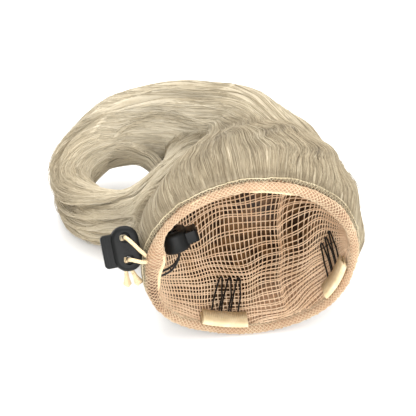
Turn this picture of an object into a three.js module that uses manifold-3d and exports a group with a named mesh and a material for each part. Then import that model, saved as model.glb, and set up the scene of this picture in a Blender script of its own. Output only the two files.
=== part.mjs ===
// A drawstring bun hairpiece lying on its side. A net cap has its mouth towards -Y, hair is combed
// back over it into a rolled curl, a knit casing round the mouth holds a drawstring with a cord lock,
// and the cap carries two wire combs and a second lock inside.
// Millimetres, +Z up. The origin is on the floor, in the middle of the flat that the hair rests on.
import * as THREE from "three";
import { mergeVertices } from "three/addons/utils/BufferGeometryUtils.js";
import Module from "manifold-3d";

const wasm = await Module();
wasm.setup();

// Clearance between pieces that touch on the real thing
const GAP = 0.3;

// Net cap: ovals across its depth, from the mouth to the deep end
const NET = { wall: 1.2, columns: 18, rows: 6, bar: 2.6, barShare: 0.1, firstRow: 0.09, lastRow: 0.87 };
const CAP_HEART = new THREE.Vector3(0, -12, 57);
const CAP_SECTIONS = [
  { y: -29.9, x: 0, z: 56, halfWidth: 56, halfHeight: 52 },
  { y: -16, x: 0, z: 57, halfWidth: 56, halfHeight: 51 },
  { y: 2, x: 1.5, z: 58, halfWidth: 53, halfHeight: 48.5 },
  { y: 17, x: 4, z: 57.5, halfWidth: 46, halfHeight: 44 },
  { y: 30, x: 7, z: 56, halfWidth: 36.5, halfHeight: 36 },
  { y: 39, x: 9, z: 54, halfWidth: 24, halfHeight: 25 },
  { y: 44, x: 10.5, z: 52.5, halfWidth: 11, halfHeight: 12 },
  { y: 46, x: 11, z: 52, halfWidth: 0, halfHeight: 0 },
];

// Hair over the cap: ovals across its depth, how far each sags to the floor, and the locks that it lies in
const CROWN = { around: 48, rows: 13, netGap: 0.5 };
const CROWN_LOCKS = { count: 12, depth: 1.4, swirl: 0.9 };
const CROWN_SECTIONS = [
  { y: -29.6, x: 0, z: 57, halfWidth: 60.2, halfHeight: 57, sag: 0 },
  { y: -20, x: 0.5, z: 59, halfWidth: 61.8, halfHeight: 61, sag: 0 },
  { y: -6, x: 2.5, z: 58.5, halfWidth: 61.5, halfHeight: 61, sag: 0 },
  { y: 12, x: 6.5, z: 56, halfWidth: 56.5, halfHeight: 57.5, sag: 0.5 },
  { y: 30, x: 11, z: 53, halfWidth: 46.5, halfHeight: 50.5, sag: 4.5 },
  { y: 44, x: 15, z: 51, halfWidth: 35, halfHeight: 40, sag: 13 },
  { y: 55, x: 18.5, z: 49, halfWidth: 22, halfHeight: 26, sag: 13 },
  { y: 61, x: 20, z: 48, halfWidth: 9.5, halfHeight: 12, sag: 7 },
  { y: 63, x: 20.5, z: 48, halfWidth: 0, halfHeight: 0, sag: 0 },
];

// Rolled tail: stations along its middle, with the half thickness and half height of the lock there
const CURL = { steps: 36, innerSteps: 9, around: 14, ridges: 4, ridgeShare: 0.05, twist: 1.2 };
const CURL_STATIONS = [
  { x: 24, y: 24, z: 76, halfThick: 13, halfHeight: 13 },
  { x: 13, y: 47, z: 81, halfThick: 19, halfHeight: 24.5 },
  { x: -6, y: 71, z: 68, halfThick: 20, halfHeight: 30 },
  { x: -30, y: 92.5, z: 57, halfThick: 18, halfHeight: 28 },
  { x: -57, y: 104, z: 46.5, halfThick: 15.5, halfHeight: 22.5 },
  { x: -79, y: 98, z: 36, halfThick: 14, halfHeight: 18.5 },
  { x: -94, y: 83, z: 26, halfThick: 13.5, halfHeight: 19 },
  { x: -91, y: 65, z: 20.5, halfThick: 13, halfHeight: 20.5 },
  { x: -78, y: 53, z: 20.5, halfThick: 12.5, halfHeight: 21 },
  { x: -59, y: 50, z: 25.5, halfThick: 11.5, halfHeight: 20.5 },
  { x: -42, y: 54, z: 37.5, halfThick: 10, halfHeight: 17 },
  { x: -26, y: 55, z: 51, halfThick: 12.5, halfHeight: 14.5 },
  { x: -8, y: 46, z: 60, halfThick: 10, halfHeight: 12 },
];

// A thinner lock that leaves the inside of the roll and crosses to the tucked end
const INNER_STATIONS = [
  { x: -74, y: 94, z: 38, halfThick: 4.5, halfHeight: 6 },
  { x: -58, y: 89, z: 42, halfThick: 5, halfHeight: 6.5 },
  { x: -47, y: 81.5, z: 38.5, halfThick: 4.5, halfHeight: 6 },
  { x: -38, y: 72, z: 35, halfThick: 4, halfHeight: 5.5 },
  { x: -36, y: 60, z: 36, halfThick: 3.5, halfHeight: 5 },
];

// Casing round the mouth, its drawstring groove and the corner that the drawstring leaves by
const CASING = {
  x: 0, y: -33.7, z: 56, halfWidth: 57, halfHeight: 53,
  halfThick: 2.7, halfDepth: 3.4, steps: 48, sidePoints: 6,
};
const CORNER = { angle: THREE.MathUtils.degToRad(171), spread: 0.2, widen: 2.3, pullIn: 2.4 };
const GROOVE = {
  angle: THREE.MathUtils.degToRad(225), halfMouth: 0.62, sink: 0.8, turns: [-1.5, -2.3, Math.PI, 2.3, 1.5],
};
const STRING_RADIUS = 1.1;
const STRING_SIDES = 6;

// Two-hole cord lock, about the middle of its hole line: x is the press axis, y the long axis
const LOCK = {
  bodyStart: -8, bodyEnd: 7.5, halfLength: 12.6, halfThick: 5.8, corner: 5.5, bevel: 1.6,
  holeOffset: 6.2, holeRadius: 2.4, endWall: 1.2,
};
const PLUNGER = {
  start: -13.5, end: 3, halfLength: 9.3, halfThick: 3.6, corner: 2.4, bevel: 0.4, slotRoom: 0.45, travel: 3,
};

// Places of the two locks: the press axis and the long axis of each
const OUTER_LOCK = { at: [-70, -28, 67], press: [0.99, 0.077, 0.092], long: [-0.12, 0.637, 0.758] };
const INNER_LOCK = { at: [-41.5, -13, 57], press: [-0.96, -0.1, -0.25], long: [-0.05, -0.86, 0.5] };

// Routes of the free cords, from the casing through the locks to their ends
const UPPER_ROUTE = [
  [-60.1, -33.2, 65.2], [-60.8, -34.8, 67.8], [-63.4, -35.4, 71.6], [-66.7, -34.0, 75.3],
  [-69.5, -31.9, 77.2], [-70.6, -29.4, 76.2], [-70.7, -26.3, 73.6], [-70.7, -19.1, 67.5],
  [-70.6, -16.0, 63.6], [-70.4, -15.8, 56.0], [-70.0, -17.2, 48.0], [-69.6, -18.6, 39.5],
];
const LOWER_ROUTE = [
  [-60.1, -34.8, 62.4], [-60.4, -37.4, 64.0], [-62.9, -39.4, 66.2], [-65.9, -39.8, 67.8],
  [-68.3, -38.8, 67.9], [-69.3, -36.2, 65.8], [-69.3, -32.0, 62.3], [-69.3, -27.0, 58.1],
  [-69.0, -24.8, 54.2], [-68.0, -24.6, 50.0], [-66.4, -25.6, 46.6],
];
const INNER_FRONT_ROUTE = [
  [-51.6, -27.4, 43.4], [-46.5, -26.0, 44.6], [-43.1, -25.0, 47.4], [-40.5, -23.2, 51.6],
  [-40.0, -21.6, 54.8], [-41.8, -18.3, 60.1], [-43.5, -15.1, 65.5], [-44.5, -13.2, 69.6],
];
const INNER_BACK_ROUTE = [
  [-52.2, -25.0, 44.0], [-46.1, -21.4, 43.4], [-42.1, -17.4, 43.2], [-39.3, -13.6, 45.0],
  [-39.5, -10.9, 48.5], [-41.2, -7.7, 53.9], [-43.0, -4.4, 59.2], [-44.1, -2.2, 63.4],
];
const INNER_CORD_RADIUS = 0.6;
const CORD_STEP = 5;
const CORD_SIDES = 8;
const CORD_END = [
  { along: 0, radius: 1.25 },
  { along: 1.9, radius: 1.25 },
  { along: 6.4, radius: 2.3 },
  { along: 7.5, radius: 1.85 },
];

// Wire combs: the outline of half a tooth, from its foot to its tip
const COMB = { teeth: 3, pitch: 5.9, wireRadius: 0.45, sides: 5, footDepth: -0.4, turnDepth: -1.2 };
const TOOTH_OUTLINE = [
  { along: 0, across: 2.3 },
  { along: 8, across: 2.3 },
  { along: 16, across: 2.33 },
  { along: 21, across: 1.7 },
  { along: 26, across: 1.15 },
  { along: 29, across: 0.8 },
];
const TOOTH_LENGTH = 30;
const TAPE = {
  halfLength: 13, stations: 7, front: -4.4, back: 2.4, under: 1.2, wall: 0.8, slot: 1.4, slotFront: -2.8,
};
// Places of the combs round the mouth, and how far the teeth lean along it
const FRONT_COMB = { angle: THREE.MathUtils.degToRad(253), slant: 0.18 };
const SIDE_COMB = { angle: THREE.MathUtils.degToRad(-25), slant: 0 };

const MATERIALS = {
  hair: { color: 0xc6b594, roughness: 0.55, metalness: 0 },
  net: { color: 0xd9b597, roughness: 0.8, metalness: 0 },
  casing: { color: 0xefcfae, roughness: 0.85, metalness: 0 },
  cord: { color: 0xefdfc0, roughness: 0.8, metalness: 0 },
  tape: { color: 0xedd8b2, roughness: 0.85, metalness: 0 },
  wire: { color: 0x1b1a1a, roughness: 0.4, metalness: 0.6 },
  lock: { color: 0x2c2d2b, roughness: 0.5, metalness: 0 },
  blackCord: { color: 0x171616, roughness: 0.8, metalness: 0 },
};

const UP = new THREE.Vector3(0, 0, 1);
const hairpiece = new THREE.Group();

function addPiece(name, geometry, material, parent = hairpiece) {
  const mesh = new THREE.Mesh(geometry, new THREE.MeshStandardMaterial(MATERIALS[material]));
  mesh.name = name;
  parent.add(mesh);
}

function cubic(before, from, to, after, t) {
  const bend = 2 * before - 5 * from + 4 * to - after;
  const twist = 3 * (from - to) + after - before;
  return from + 0.5 * t * (to - before + t * (bend + t * twist));
}

// The row of a table at a share of its length, eased through its neighbours
function rowAt(table, share) {
  const last = table.length - 1;
  const place = THREE.MathUtils.clamp(share, 0, 1) * last;
  const index = Math.min(Math.floor(place), last - 1);
  const row = {};
  for (const key of Object.keys(table[0])) {
    const from = table[index][key];
    const to = table[index + 1][key];
    const before = index > 0 ? table[index - 1][key] : 2 * from - to;
    const after = index + 2 <= last ? table[index + 2][key] : 2 * to - from;
    row[key] = cubic(before, from, to, after, place - index);
  }
  return row;
}

function ovalPoint(sections, angle, share) {
  const oval = rowAt(sections, share);
  return new THREE.Vector3(
    oval.x + Math.max(oval.halfWidth, 0) * Math.cos(angle),
    oval.y,
    oval.z + Math.max(oval.halfHeight, 0) * Math.sin(angle),
  );
}

// A point over the cap's outer face, moved inwards by lift
function capPoint(angle, share, lift) {
  const point = ovalPoint(CAP_SECTIONS, angle, share);
  const inward = CAP_HEART.clone().sub(point).normalize();
  return point.addScaledVector(inward, lift);
}

// The share of the cap's sections at a depth from its mouth
function shareAtDepth(depth) {
  let low = 0;
  let high = 1;
  for (let halving = 0; halving < 24; halving += 1) {
    const middle = (low + high) / 2;
    if (rowAt(CAP_SECTIONS, middle).y - CAP_SECTIONS[0].y < depth) low = middle;
    else high = middle;
  }
  return low;
}

function geometryOf(points, triangles) {
  const geometry = new THREE.BufferGeometry();
  const positions = points.flatMap((point) => [point.x, point.y, point.z]);
  geometry.setAttribute("position", new THREE.Float32BufferAttribute(positions, 3));
  geometry.setIndex(triangles.flat());
  return faceOut(geometry);
}

// Turns every face round if the closed surface points inwards
function faceOut(geometry) {
  const position = geometry.attributes.position;
  const index = geometry.index.array;
  const corner = [new THREE.Vector3(), new THREE.Vector3(), new THREE.Vector3()];
  let volume = 0;
  for (let at = 0; at < index.length; at += 3) {
    corner.forEach((point, side) => point.fromBufferAttribute(position, index[at + side]));
    volume += corner[0].dot(corner[1].clone().cross(corner[2]));
  }
  if (volume < 0) {
    for (let at = 0; at < index.length; at += 3) {
      [index[at], index[at + 1]] = [index[at + 1], index[at]];
    }
  }
  geometry.computeVertexNormals();
  return geometry;
}

// A closed skin over rings of equal count. Its ends are points, flat caps of an outline, or each other.
function skin(rings, ends) {
  const count = rings[0].length;
  const points = rings.flat();
  const triangles = [];
  const joined = ends.loop ? rings.length : rings.length - 1;
  for (let row = 0; row < joined; row += 1) {
    const here = row * count;
    const next = ((row + 1) % rings.length) * count;
    for (let side = 0; side < count; side += 1) {
      const beside = (side + 1) % count;
      triangles.push([here + side, here + beside, next + beside]);
      triangles.push([here + side, next + beside, next + side]);
    }
  }
  const lastRow = (rings.length - 1) * count;
  if (ends.points) {
    const first = points.push(ends.points[0]) - 1;
    const last = points.push(ends.points[1]) - 1;
    for (let side = 0; side < count; side += 1) {
      const beside = (side + 1) % count;
      triangles.push([first, beside, side]);
      triangles.push([last, lastRow + side, lastRow + beside]);
    }
  }
  if (ends.outline) {
    for (const [a, b, c] of THREE.ShapeUtils.triangulateShape(ends.outline, [])) {
      triangles.push([c, b, a]);
      triangles.push([lastRow + a, lastRow + b, lastRow + c]);
    }
  }
  return geometryOf(points, triangles);
}

function toSolid(geometry) {
  const bare = geometry.clone();
  bare.deleteAttribute("normal");
  bare.deleteAttribute("uv");
  const merged = mergeVertices(bare, 1e-4);
  return new wasm.Manifold(new wasm.Mesh({
    numProp: 3,
    vertProperties: new Float32Array(merged.attributes.position.array),
    triVerts: new Uint32Array(merged.index.array),
  }));
}

function toGeometry(solid) {
  const mesh = solid.getMesh();
  const geometry = new THREE.BufferGeometry();
  geometry.setAttribute("position", new THREE.BufferAttribute(mesh.vertProperties, 3));
  geometry.setIndex(new THREE.BufferAttribute(mesh.triVerts, 1));
  geometry.computeVertexNormals();
  return geometry;
}

function evenShares(rows) {
  return Array.from({ length: rows }, (_, row) => row / rows);
}

// The shares of the cap's depth at its mouth and at the bars between its rows of gaps
function netShares() {
  const bars = Array.from({ length: NET.rows + 1 }, (_, row) => row / NET.rows);
  return [0, ...bars.map((bar) => THREE.MathUtils.lerp(NET.firstRow, NET.lastRow, bar))];
}

function angles(count) {
  return Array.from({ length: count }, (_, step) => (2 * Math.PI * step) / count);
}

// The floor, as a block to cut the hair flat on
function floorBlock() {
  const reach = 600;
  const block = new THREE.BoxGeometry(reach, reach, reach);
  block.translate(0, 0, -reach / 2);
  return toSolid(block);
}

// The outside of the hair over the cap, grown outwards by extra
function crownOuter(angle, share, extra) {
  const point = ovalPoint(CROWN_SECTIONS, angle, share);
  point.z -= rowAt(CROWN_SECTIONS, share).sag * Math.min(Math.sin(angle), 0) ** 2;
  const outward = point.clone().sub(CAP_HEART).normalize();
  const wave = Math.cos(CROWN_LOCKS.count * (angle + CROWN_LOCKS.swirl * share));
  const rise = CROWN_LOCKS.depth * wave * Math.sin(Math.PI * Math.sqrt(share));
  return point.addScaledVector(outward, rise + extra);
}

function crownRings(shares, pointAt) {
  return shares.map((share) => angles(CROWN.around).map((angle) => pointAt(angle, share)));
}

function crownGeometry() {
  const innerPoint = (angle, share) => capPoint(angle, share, -CROWN.netGap);
  const outerPoint = (angle, share) => crownOuter(angle, share, 0);
  const inner = crownRings(netShares().reverse(), innerPoint);
  const outer = crownRings(evenShares(CROWN.rows), outerPoint);
  return skin([...inner, ...outer], { points: [innerPoint(0, 1), outerPoint(0, 1)] });
}

// The crown without its hollow and a gap larger all round, to cut the curl with
function crownRoomGeometry() {
  const outerPoint = (angle, share) => crownOuter(angle, share, GAP);
  const front = new THREE.Vector3(CASING.x, CROWN_SECTIONS[0].y, CASING.z);
  return skin(crownRings(evenShares(CROWN.rows), outerPoint), { points: [front, outerPoint(0, 1)] });
}

// A lock of hair swept along its stations, ridged by its strands and rounded at its ends
function hairLockGeometry(stations, steps) {
  const middleAt = (share) => {
    const row = rowAt(stations, share);
    return new THREE.Vector3(row.x, row.y, row.z);
  };
  const nudge = 0.01;
  const rings = [];
  for (let step = 0; step <= steps; step += 1) {
    const share = step / steps;
    const { halfThick, halfHeight } = rowAt(stations, share);
    const ahead = middleAt(share + nudge).sub(middleAt(share - nudge)).normalize();
    const side = ahead.clone().cross(UP).normalize();
    const rise = side.clone().cross(ahead);
    const ring = angles(CURL.around).map((angle) => {
      const ridge = 1 + CURL.ridgeShare * Math.cos(CURL.ridges * (angle + CURL.twist * share));
      return middleAt(share)
        .addScaledVector(side, halfThick * ridge * Math.cos(angle))
        .addScaledVector(rise, halfHeight * ridge * Math.sin(angle));
    });
    rings.push(ring);
  }
  return skin(rings, { points: [middleAt(0), middleAt(1)] });
}

function curlSolid() {
  const roll = toSolid(hairLockGeometry(CURL_STATIONS, CURL.steps));
  const inner = toSolid(hairLockGeometry(INNER_STATIONS, CURL.innerSteps));
  return roll.add(inner).subtract(toSolid(crownRoomGeometry())).subtract(floor);
}

// The net: a dome wall with a gap in each cell of its rows and columns
function netGeometry() {
  const points = [];
  const faces = [];
  const place = (angle, share, inner) => points.push(capPoint(angle, share, inner ? NET.wall : 0)) - 1;
  const quad = (a, b, c, d) => faces.push([a, b, c], [a, c, d]);
  const columnAngle = (column) => (2 * Math.PI * column) / NET.columns;
  const barShares = netShares();
  const ring = (share, inner) => angles(NET.columns).map((angle) => place(angle, share, inner));
  const gapCorners = (column, row, inner) => {
    const low = barShares[row + 1];
    const high = barShares[row + 2];
    const inset = (high - low) * NET.barShare;
    const corner = (share, side) => {
      const turn = NET.bar / 2 / rowAt(CAP_SECTIONS, share).halfWidth;
      return place(columnAngle(column + side) + (side ? -turn : turn), share, inner);
    };
    return [
      corner(low + inset, 0), corner(low + inset, 1), corner(high - inset, 1), corner(high - inset, 0),
    ];
  };
  const layers = [false, true].map((inner) => {
    const rings = barShares.map((share) => ring(share, inner));
    const apex = place(0, 1, inner);
    const layerQuad = inner ? (a, b, c, d) => quad(d, c, b, a) : quad;
    const cells = [];
    for (let column = 0; column < NET.columns; column += 1) {
      const beside = (column + 1) % NET.columns;
      layerQuad(rings[0][column], rings[0][beside], rings[1][beside], rings[1][column]);
      for (let row = 0; row < NET.rows; row += 1) {
        const near = rings[row + 1];
        const far = rings[row + 2];
        const outline = [near[column], near[beside], far[beside], far[column]];
        const gap = gapCorners(column, row, inner);
        for (let edge = 0; edge < 4; edge += 1) {
          const next = (edge + 1) % 4;
          layerQuad(outline[edge], outline[next], gap[next], gap[edge]);
        }
        cells.push(gap);
      }
      const rim = rings[NET.rows + 1];
      faces.push(inner ? [apex, rim[beside], rim[column]] : [rim[column], rim[beside], apex]);
    }
    return { mouth: rings[0], cells };
  });
  const [outer, inner] = layers;
  outer.cells.forEach((gap, cell) => {
    for (let edge = 0; edge < 4; edge += 1) {
      const next = (edge + 1) % 4;
      quad(gap[edge], gap[next], inner.cells[cell][next], inner.cells[cell][edge]);
    }
  });
  for (let column = 0; column < NET.columns; column += 1) {
    const beside = (column + 1) % NET.columns;
    quad(outer.mouth[beside], outer.mouth[column], inner.mouth[column], inner.mouth[beside]);
  }
  return geometryOf(points, faces);
}

// The casing's middle, outward direction and size at an angle round the mouth
function casingAt(angle) {
  const away = Math.atan2(Math.sin(angle - CORNER.angle), Math.cos(angle - CORNER.angle));
  const pull = Math.exp(-((away / CORNER.spread) ** 2));
  const across = Math.cos(angle);
  const up = Math.sin(angle);
  const outward = new THREE.Vector3(across / CASING.halfWidth, 0, up / CASING.halfHeight).normalize();
  const middle = new THREE.Vector3(CASING.x, CASING.y, CASING.z)
    .add(new THREE.Vector3(CASING.halfWidth * across, 0, CASING.halfHeight * up))
    .addScaledVector(outward, -CORNER.pullIn * pull);
  const halfThick = CASING.halfThick + CORNER.widen * pull;
  const onSection = (turn, share) => middle.clone()
    .addScaledVector(outward, share * halfThick * Math.cos(turn))
    .add(new THREE.Vector3(0, share * CASING.halfDepth * Math.sin(turn), 0));
  const string = onSection(GROOVE.angle, GROOVE.sink);
  return { onSection, outward, string };
}

// A point of a circle round the drawstring, turned from the groove's mouth
function roundString(station, radius, turn) {
  const angle = GROOVE.angle + turn;
  return station.string.clone()
    .addScaledVector(station.outward, radius * Math.cos(angle))
    .add(new THREE.Vector3(0, radius * Math.sin(angle), 0));
}

function casingGeometry() {
  const rings = angles(CASING.steps).map((angle) => {
    const station = casingAt(angle);
    const start = GROOVE.angle + GROOVE.halfMouth;
    const sweep = 2 * Math.PI - 2 * GROOVE.halfMouth;
    const ring = [];
    for (let side = 0; side <= CASING.sidePoints; side += 1) {
      ring.push(station.onSection(start + (sweep * side) / CASING.sidePoints, 1));
    }
    for (const turn of GROOVE.turns) ring.push(roundString(station, STRING_RADIUS + GAP, turn));
    return ring;
  });
  return skin(rings, { loop: true });
}

function stringRunGeometry() {
  const rings = angles(CASING.steps).map((angle) => {
    const station = casingAt(angle);
    return angles(STRING_SIDES).map((turn) => roundString(station, STRING_RADIUS, turn));
  });
  return skin(rings, { loop: true });
}

// A curve whose steps follow its knots, so that tight turns get as many steps as long runs
class KnotCurve extends THREE.CatmullRomCurve3 {
  getUtoTmapping(share) {
    return share;
  }
}

function roundShape(radius, sides) {
  const corner = (turn) => new THREE.Vector2(radius * Math.cos(turn), radius * Math.sin(turn));
  return new THREE.Shape(angles(sides).map(corner));
}

function tubeGeometry(curve, radius, sides, steps) {
  return new THREE.ExtrudeGeometry(roundShape(radius, sides), { steps, extrudePath: curve });
}

function addCord(name, route, radius, material) {
  const curve = new THREE.CatmullRomCurve3(route.map((point) => new THREE.Vector3(...point)));
  const steps = Math.round(curve.getLength() / CORD_STEP);
  addPiece(name, tubeGeometry(curve, radius, CORD_SIDES, steps), material);
}

// The flared end of a cord, in line with the last stretch of its route
function addCordEnd(name, route) {
  const [before, last] = route.slice(-2).map((point) => new THREE.Vector3(...point));
  const ahead = last.clone().sub(before).normalize();
  const length = CORD_END.at(-1).along;
  const side = CORD_END.map(({ along, radius }) => new THREE.Vector2(radius, along));
  const profile = [new THREE.Vector2(0, 0), ...side, new THREE.Vector2(0, length)];
  const seat = new THREE.Group();
  seat.position.copy(last).addScaledVector(ahead, GAP);
  seat.quaternion.setFromUnitVectors(new THREE.Vector3(0, 1, 0), ahead);
  hairpiece.add(seat);
  addPiece(name, new THREE.LatheGeometry(profile, CORD_SIDES), "cord", seat);
}

function roundedOutline(path, left, right, halfLength, corner) {
  path.moveTo(right - corner, -halfLength);
  path.absarc(right - corner, -halfLength + corner, corner, -Math.PI / 2, 0, false);
  path.absarc(right - corner, halfLength - corner, corner, 0, Math.PI / 2, false);
  path.absarc(left + corner, halfLength - corner, corner, Math.PI / 2, Math.PI, false);
  path.absarc(left + corner, -halfLength + corner, corner, Math.PI, 1.5 * Math.PI, false);
  path.closePath();
  return path;
}

function plateGeometry(shape, halfThick, bevel) {
  const plate = new THREE.ExtrudeGeometry(shape, {
    depth: 2 * (halfThick - bevel),
    bevelThickness: bevel,
    bevelSize: bevel,
    bevelOffset: -bevel,
    bevelSegments: 1,
    curveSegments: 3,
  });
  plate.translate(0, 0, bevel - halfThick);
  return plate;
}

function lockBodyGeometry() {
  const { bodyStart, bodyEnd, halfLength, corner } = LOCK;
  const shape = roundedOutline(new THREE.Shape(), bodyStart, bodyEnd, halfLength, corner);
  for (const side of [-1, 1]) {
    const hole = new THREE.Path();
    hole.absarc(0, side * LOCK.holeOffset, LOCK.holeRadius, 0, 2 * Math.PI, true);
    shape.holes.push(hole);
  }
  const cavityStart = PLUNGER.start;
  const cavityEnd = bodyEnd - LOCK.endWall;
  const cavity = new THREE.BoxGeometry(
    cavityEnd - cavityStart,
    2 * (PLUNGER.halfLength + GAP),
    2 * (PLUNGER.halfThick + GAP),
  );
  cavity.translate((cavityStart + cavityEnd) / 2, 0, 0);
  return toGeometry(toSolid(plateGeometry(shape, LOCK.halfThick, LOCK.bevel)).subtract(toSolid(cavity)));
}

// The plunger has long slots, so that it slides past the cords
function plungerGeometry() {
  const { start, end, halfLength, corner } = PLUNGER;
  const shape = roundedOutline(new THREE.Shape(), start, end, halfLength, corner);
  const room = STRING_RADIUS + PLUNGER.slotRoom;
  for (const side of [-1, 1]) {
    const slot = new THREE.Path();
    const middle = side * LOCK.holeOffset;
    slot.absarc(-PLUNGER.travel, middle, room, 1.5 * Math.PI, 0.5 * Math.PI, true);
    slot.absarc(0, middle, room, 0.5 * Math.PI, -0.5 * Math.PI, true);
    slot.closePath();
    shape.holes.push(slot);
  }
  return plateGeometry(shape, PLUNGER.halfThick, PLUNGER.bevel);
}

function addLock(prefix, lock) {
  const seat = new THREE.Group();
  const press = new THREE.Vector3(...lock.press).normalize();
  const through = press.clone().cross(new THREE.Vector3(...lock.long)).normalize();
  const long = through.clone().cross(press);
  seat.position.set(...lock.at);
  seat.quaternion.setFromRotationMatrix(new THREE.Matrix4().makeBasis(press, long, through));
  hairpiece.add(seat);
  addPiece(`${prefix}_body`, lockBodyGeometry(), "lock", seat);
  addPiece(`${prefix}_plunger`, plungerGeometry(), "lock", seat);
}

// A point on the cap's wall for a comb: across and depth are along the wall, lift is off it.
// In front of the net's edge the wall goes straight on, over the casing.
function wallPoint(combAngle, across, depth, lift) {
  const share = shareAtDepth(Math.max(depth, 0));
  const turn = across / CAP_SECTIONS[0].halfWidth;
  const point = capPoint(combAngle + turn, share, NET.wall + lift);
  point.y += Math.min(depth, 0);
  return point;
}

function combGeometry(place) {
  const knots = [];
  const lift = TAPE.under + TAPE.wall + TAPE.slot / 2;
  const knot = (across, along) => {
    knots.push(wallPoint(place.angle, across + place.slant * along, COMB.footDepth + along, lift));
  };
  for (let tooth = 0; tooth < COMB.teeth; tooth += 1) {
    const middle = (tooth - (COMB.teeth - 1) / 2) * COMB.pitch;
    for (const { along, across } of TOOTH_OUTLINE) knot(middle - across, along);
    knot(middle, TOOTH_LENGTH);
    for (const { along, across } of [...TOOTH_OUTLINE].reverse()) knot(middle + across, along);
    if (tooth < COMB.teeth - 1) knot(middle + COMB.pitch / 2, COMB.turnDepth);
  }
  return tubeGeometry(new KnotCurve(knots), COMB.wireRadius, COMB.sides, knots.length - 1);
}

// A tape folded over the comb's foot, open towards the teeth
function tapeGeometry(place) {
  const top = TAPE.under + 2 * TAPE.wall + TAPE.slot;
  const outline = [
    [TAPE.front, TAPE.under],
    [TAPE.back, TAPE.under],
    [TAPE.back, TAPE.under + TAPE.wall],
    [TAPE.slotFront, TAPE.under + TAPE.wall],
    [TAPE.slotFront, top - TAPE.wall],
    [TAPE.back, top - TAPE.wall],
    [TAPE.back, top],
    [TAPE.front, top],
  ].map(([depth, lift]) => new THREE.Vector2(depth, lift));
  const rings = [];
  for (let station = 0; station < TAPE.stations; station += 1) {
    const share = station / (TAPE.stations - 1);
    const across = THREE.MathUtils.lerp(-TAPE.halfLength, TAPE.halfLength, share);
    rings.push(outline.map((point) => wallPoint(place.angle, across, point.x, point.y)));
  }
  return skin(rings, { outline });
}

const floor = floorBlock();
addPiece("hair_crown", toGeometry(toSolid(crownGeometry()).subtract(floor)), "hair");
addPiece("hair_curl", toGeometry(curlSolid()), "hair");
addPiece("net_cap", netGeometry(), "net");
addPiece("rim_casing", casingGeometry(), "casing");
addPiece("drawstring_run", stringRunGeometry(), "cord");
addCord("drawstring_upper", UPPER_ROUTE, STRING_RADIUS, "cord");
addCord("drawstring_lower", LOWER_ROUTE, STRING_RADIUS, "cord");
addCordEnd("drawstring_end_upper", UPPER_ROUTE);
addCordEnd("drawstring_end_lower", LOWER_ROUTE);
addLock("lock", OUTER_LOCK);
addLock("inner_lock", INNER_LOCK);
addCord("inner_cord_front", INNER_FRONT_ROUTE, INNER_CORD_RADIUS, "blackCord");
addCord("inner_cord_back", INNER_BACK_ROUTE, INNER_CORD_RADIUS, "blackCord");
addPiece("comb_front", combGeometry(FRONT_COMB), "wire");
addPiece("comb_front_tape", tapeGeometry(FRONT_COMB), "tape");
addPiece("comb_side", combGeometry(SIDE_COMB), "wire");
addPiece("comb_side_tape", tapeGeometry(SIDE_COMB), "tape");

export default hairpiece;
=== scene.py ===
import math

import bmesh
import bpy
import numpy as np
from mathutils import Matrix, Vector
from mathutils.bvhtree import BVHTree


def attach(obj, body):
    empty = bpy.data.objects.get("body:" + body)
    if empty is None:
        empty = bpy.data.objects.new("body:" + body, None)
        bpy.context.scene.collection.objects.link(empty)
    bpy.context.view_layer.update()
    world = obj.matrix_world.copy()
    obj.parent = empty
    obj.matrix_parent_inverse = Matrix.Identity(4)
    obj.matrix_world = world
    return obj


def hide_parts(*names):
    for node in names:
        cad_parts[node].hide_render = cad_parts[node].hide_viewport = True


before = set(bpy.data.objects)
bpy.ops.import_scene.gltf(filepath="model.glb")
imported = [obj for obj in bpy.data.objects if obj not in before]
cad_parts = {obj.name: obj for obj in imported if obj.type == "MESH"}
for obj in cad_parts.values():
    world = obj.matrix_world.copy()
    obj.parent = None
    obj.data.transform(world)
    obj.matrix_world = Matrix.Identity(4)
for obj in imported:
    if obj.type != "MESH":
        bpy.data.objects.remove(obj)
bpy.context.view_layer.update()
mm = 0.001
scene = bpy.context.scene


# camera at the photograph's angle, long lens, in millimetres
view = {
    "aim": (0, -34, 56),          # middle of the mouth
    "aimPixel": (253, 260),       # where it is in the picture
    "mmPerPixel": 0.557, "pixels": 416, "away": 1500, "azimuth": -7, "elevation": 41,
    "sensor": 36, "clip": (0.05, 20),
}


def addCamera():
    turn, lift = math.radians(view["azimuth"]), math.radians(view["elevation"])
    right = Vector((math.cos(turn), math.sin(turn), 0))
    ahead = Vector((-math.sin(turn), math.cos(turn), 0))
    up = ahead * math.sin(lift) + Vector((0, 0, math.cos(lift)))
    toward = Vector((0, 0, math.sin(lift))) - ahead * math.cos(lift)
    middle = view["pixels"] / 2
    off = right * (middle - view["aimPixel"][0]) + up * (view["aimPixel"][1] - middle)
    centre = Vector(view["aim"]) + off * view["mmPerPixel"]
    data = bpy.data.cameras.new("camera")
    data.sensor_width = view["sensor"]
    data.lens = data.sensor_width * view["away"] / (view["pixels"] * view["mmPerPixel"])
    data.clip_start, data.clip_end = view["clip"]
    camera = bpy.data.objects.new("camera", data)
    scene.collection.objects.link(camera)
    basis = Matrix((right, up, toward)).transposed().to_4x4()
    camera.matrix_world = Matrix.Translation((centre + toward * view["away"]) * mm) @ basis
    scene.camera = camera


addCamera()
print("camera placed")


# shader nodes: an input is a value or the socket that feeds it
def shaderNode(tree, kind, inputs=None, **settings):
    made = tree.nodes.new("ShaderNode" + kind)
    for key, value in settings.items():
        setattr(made, key, value)
    for key, value in (inputs or {}).items():
        if isinstance(value, bpy.types.NodeSocket):
            tree.links.new(value, made.inputs[key])
        else:
            made.inputs[key].default_value = value
    return made


def mathNode(tree, operation, *values, clamp=False):
    return shaderNode(tree, "Math", dict(enumerate(values)), operation=operation, use_clamp=clamp).outputs[0]


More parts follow.
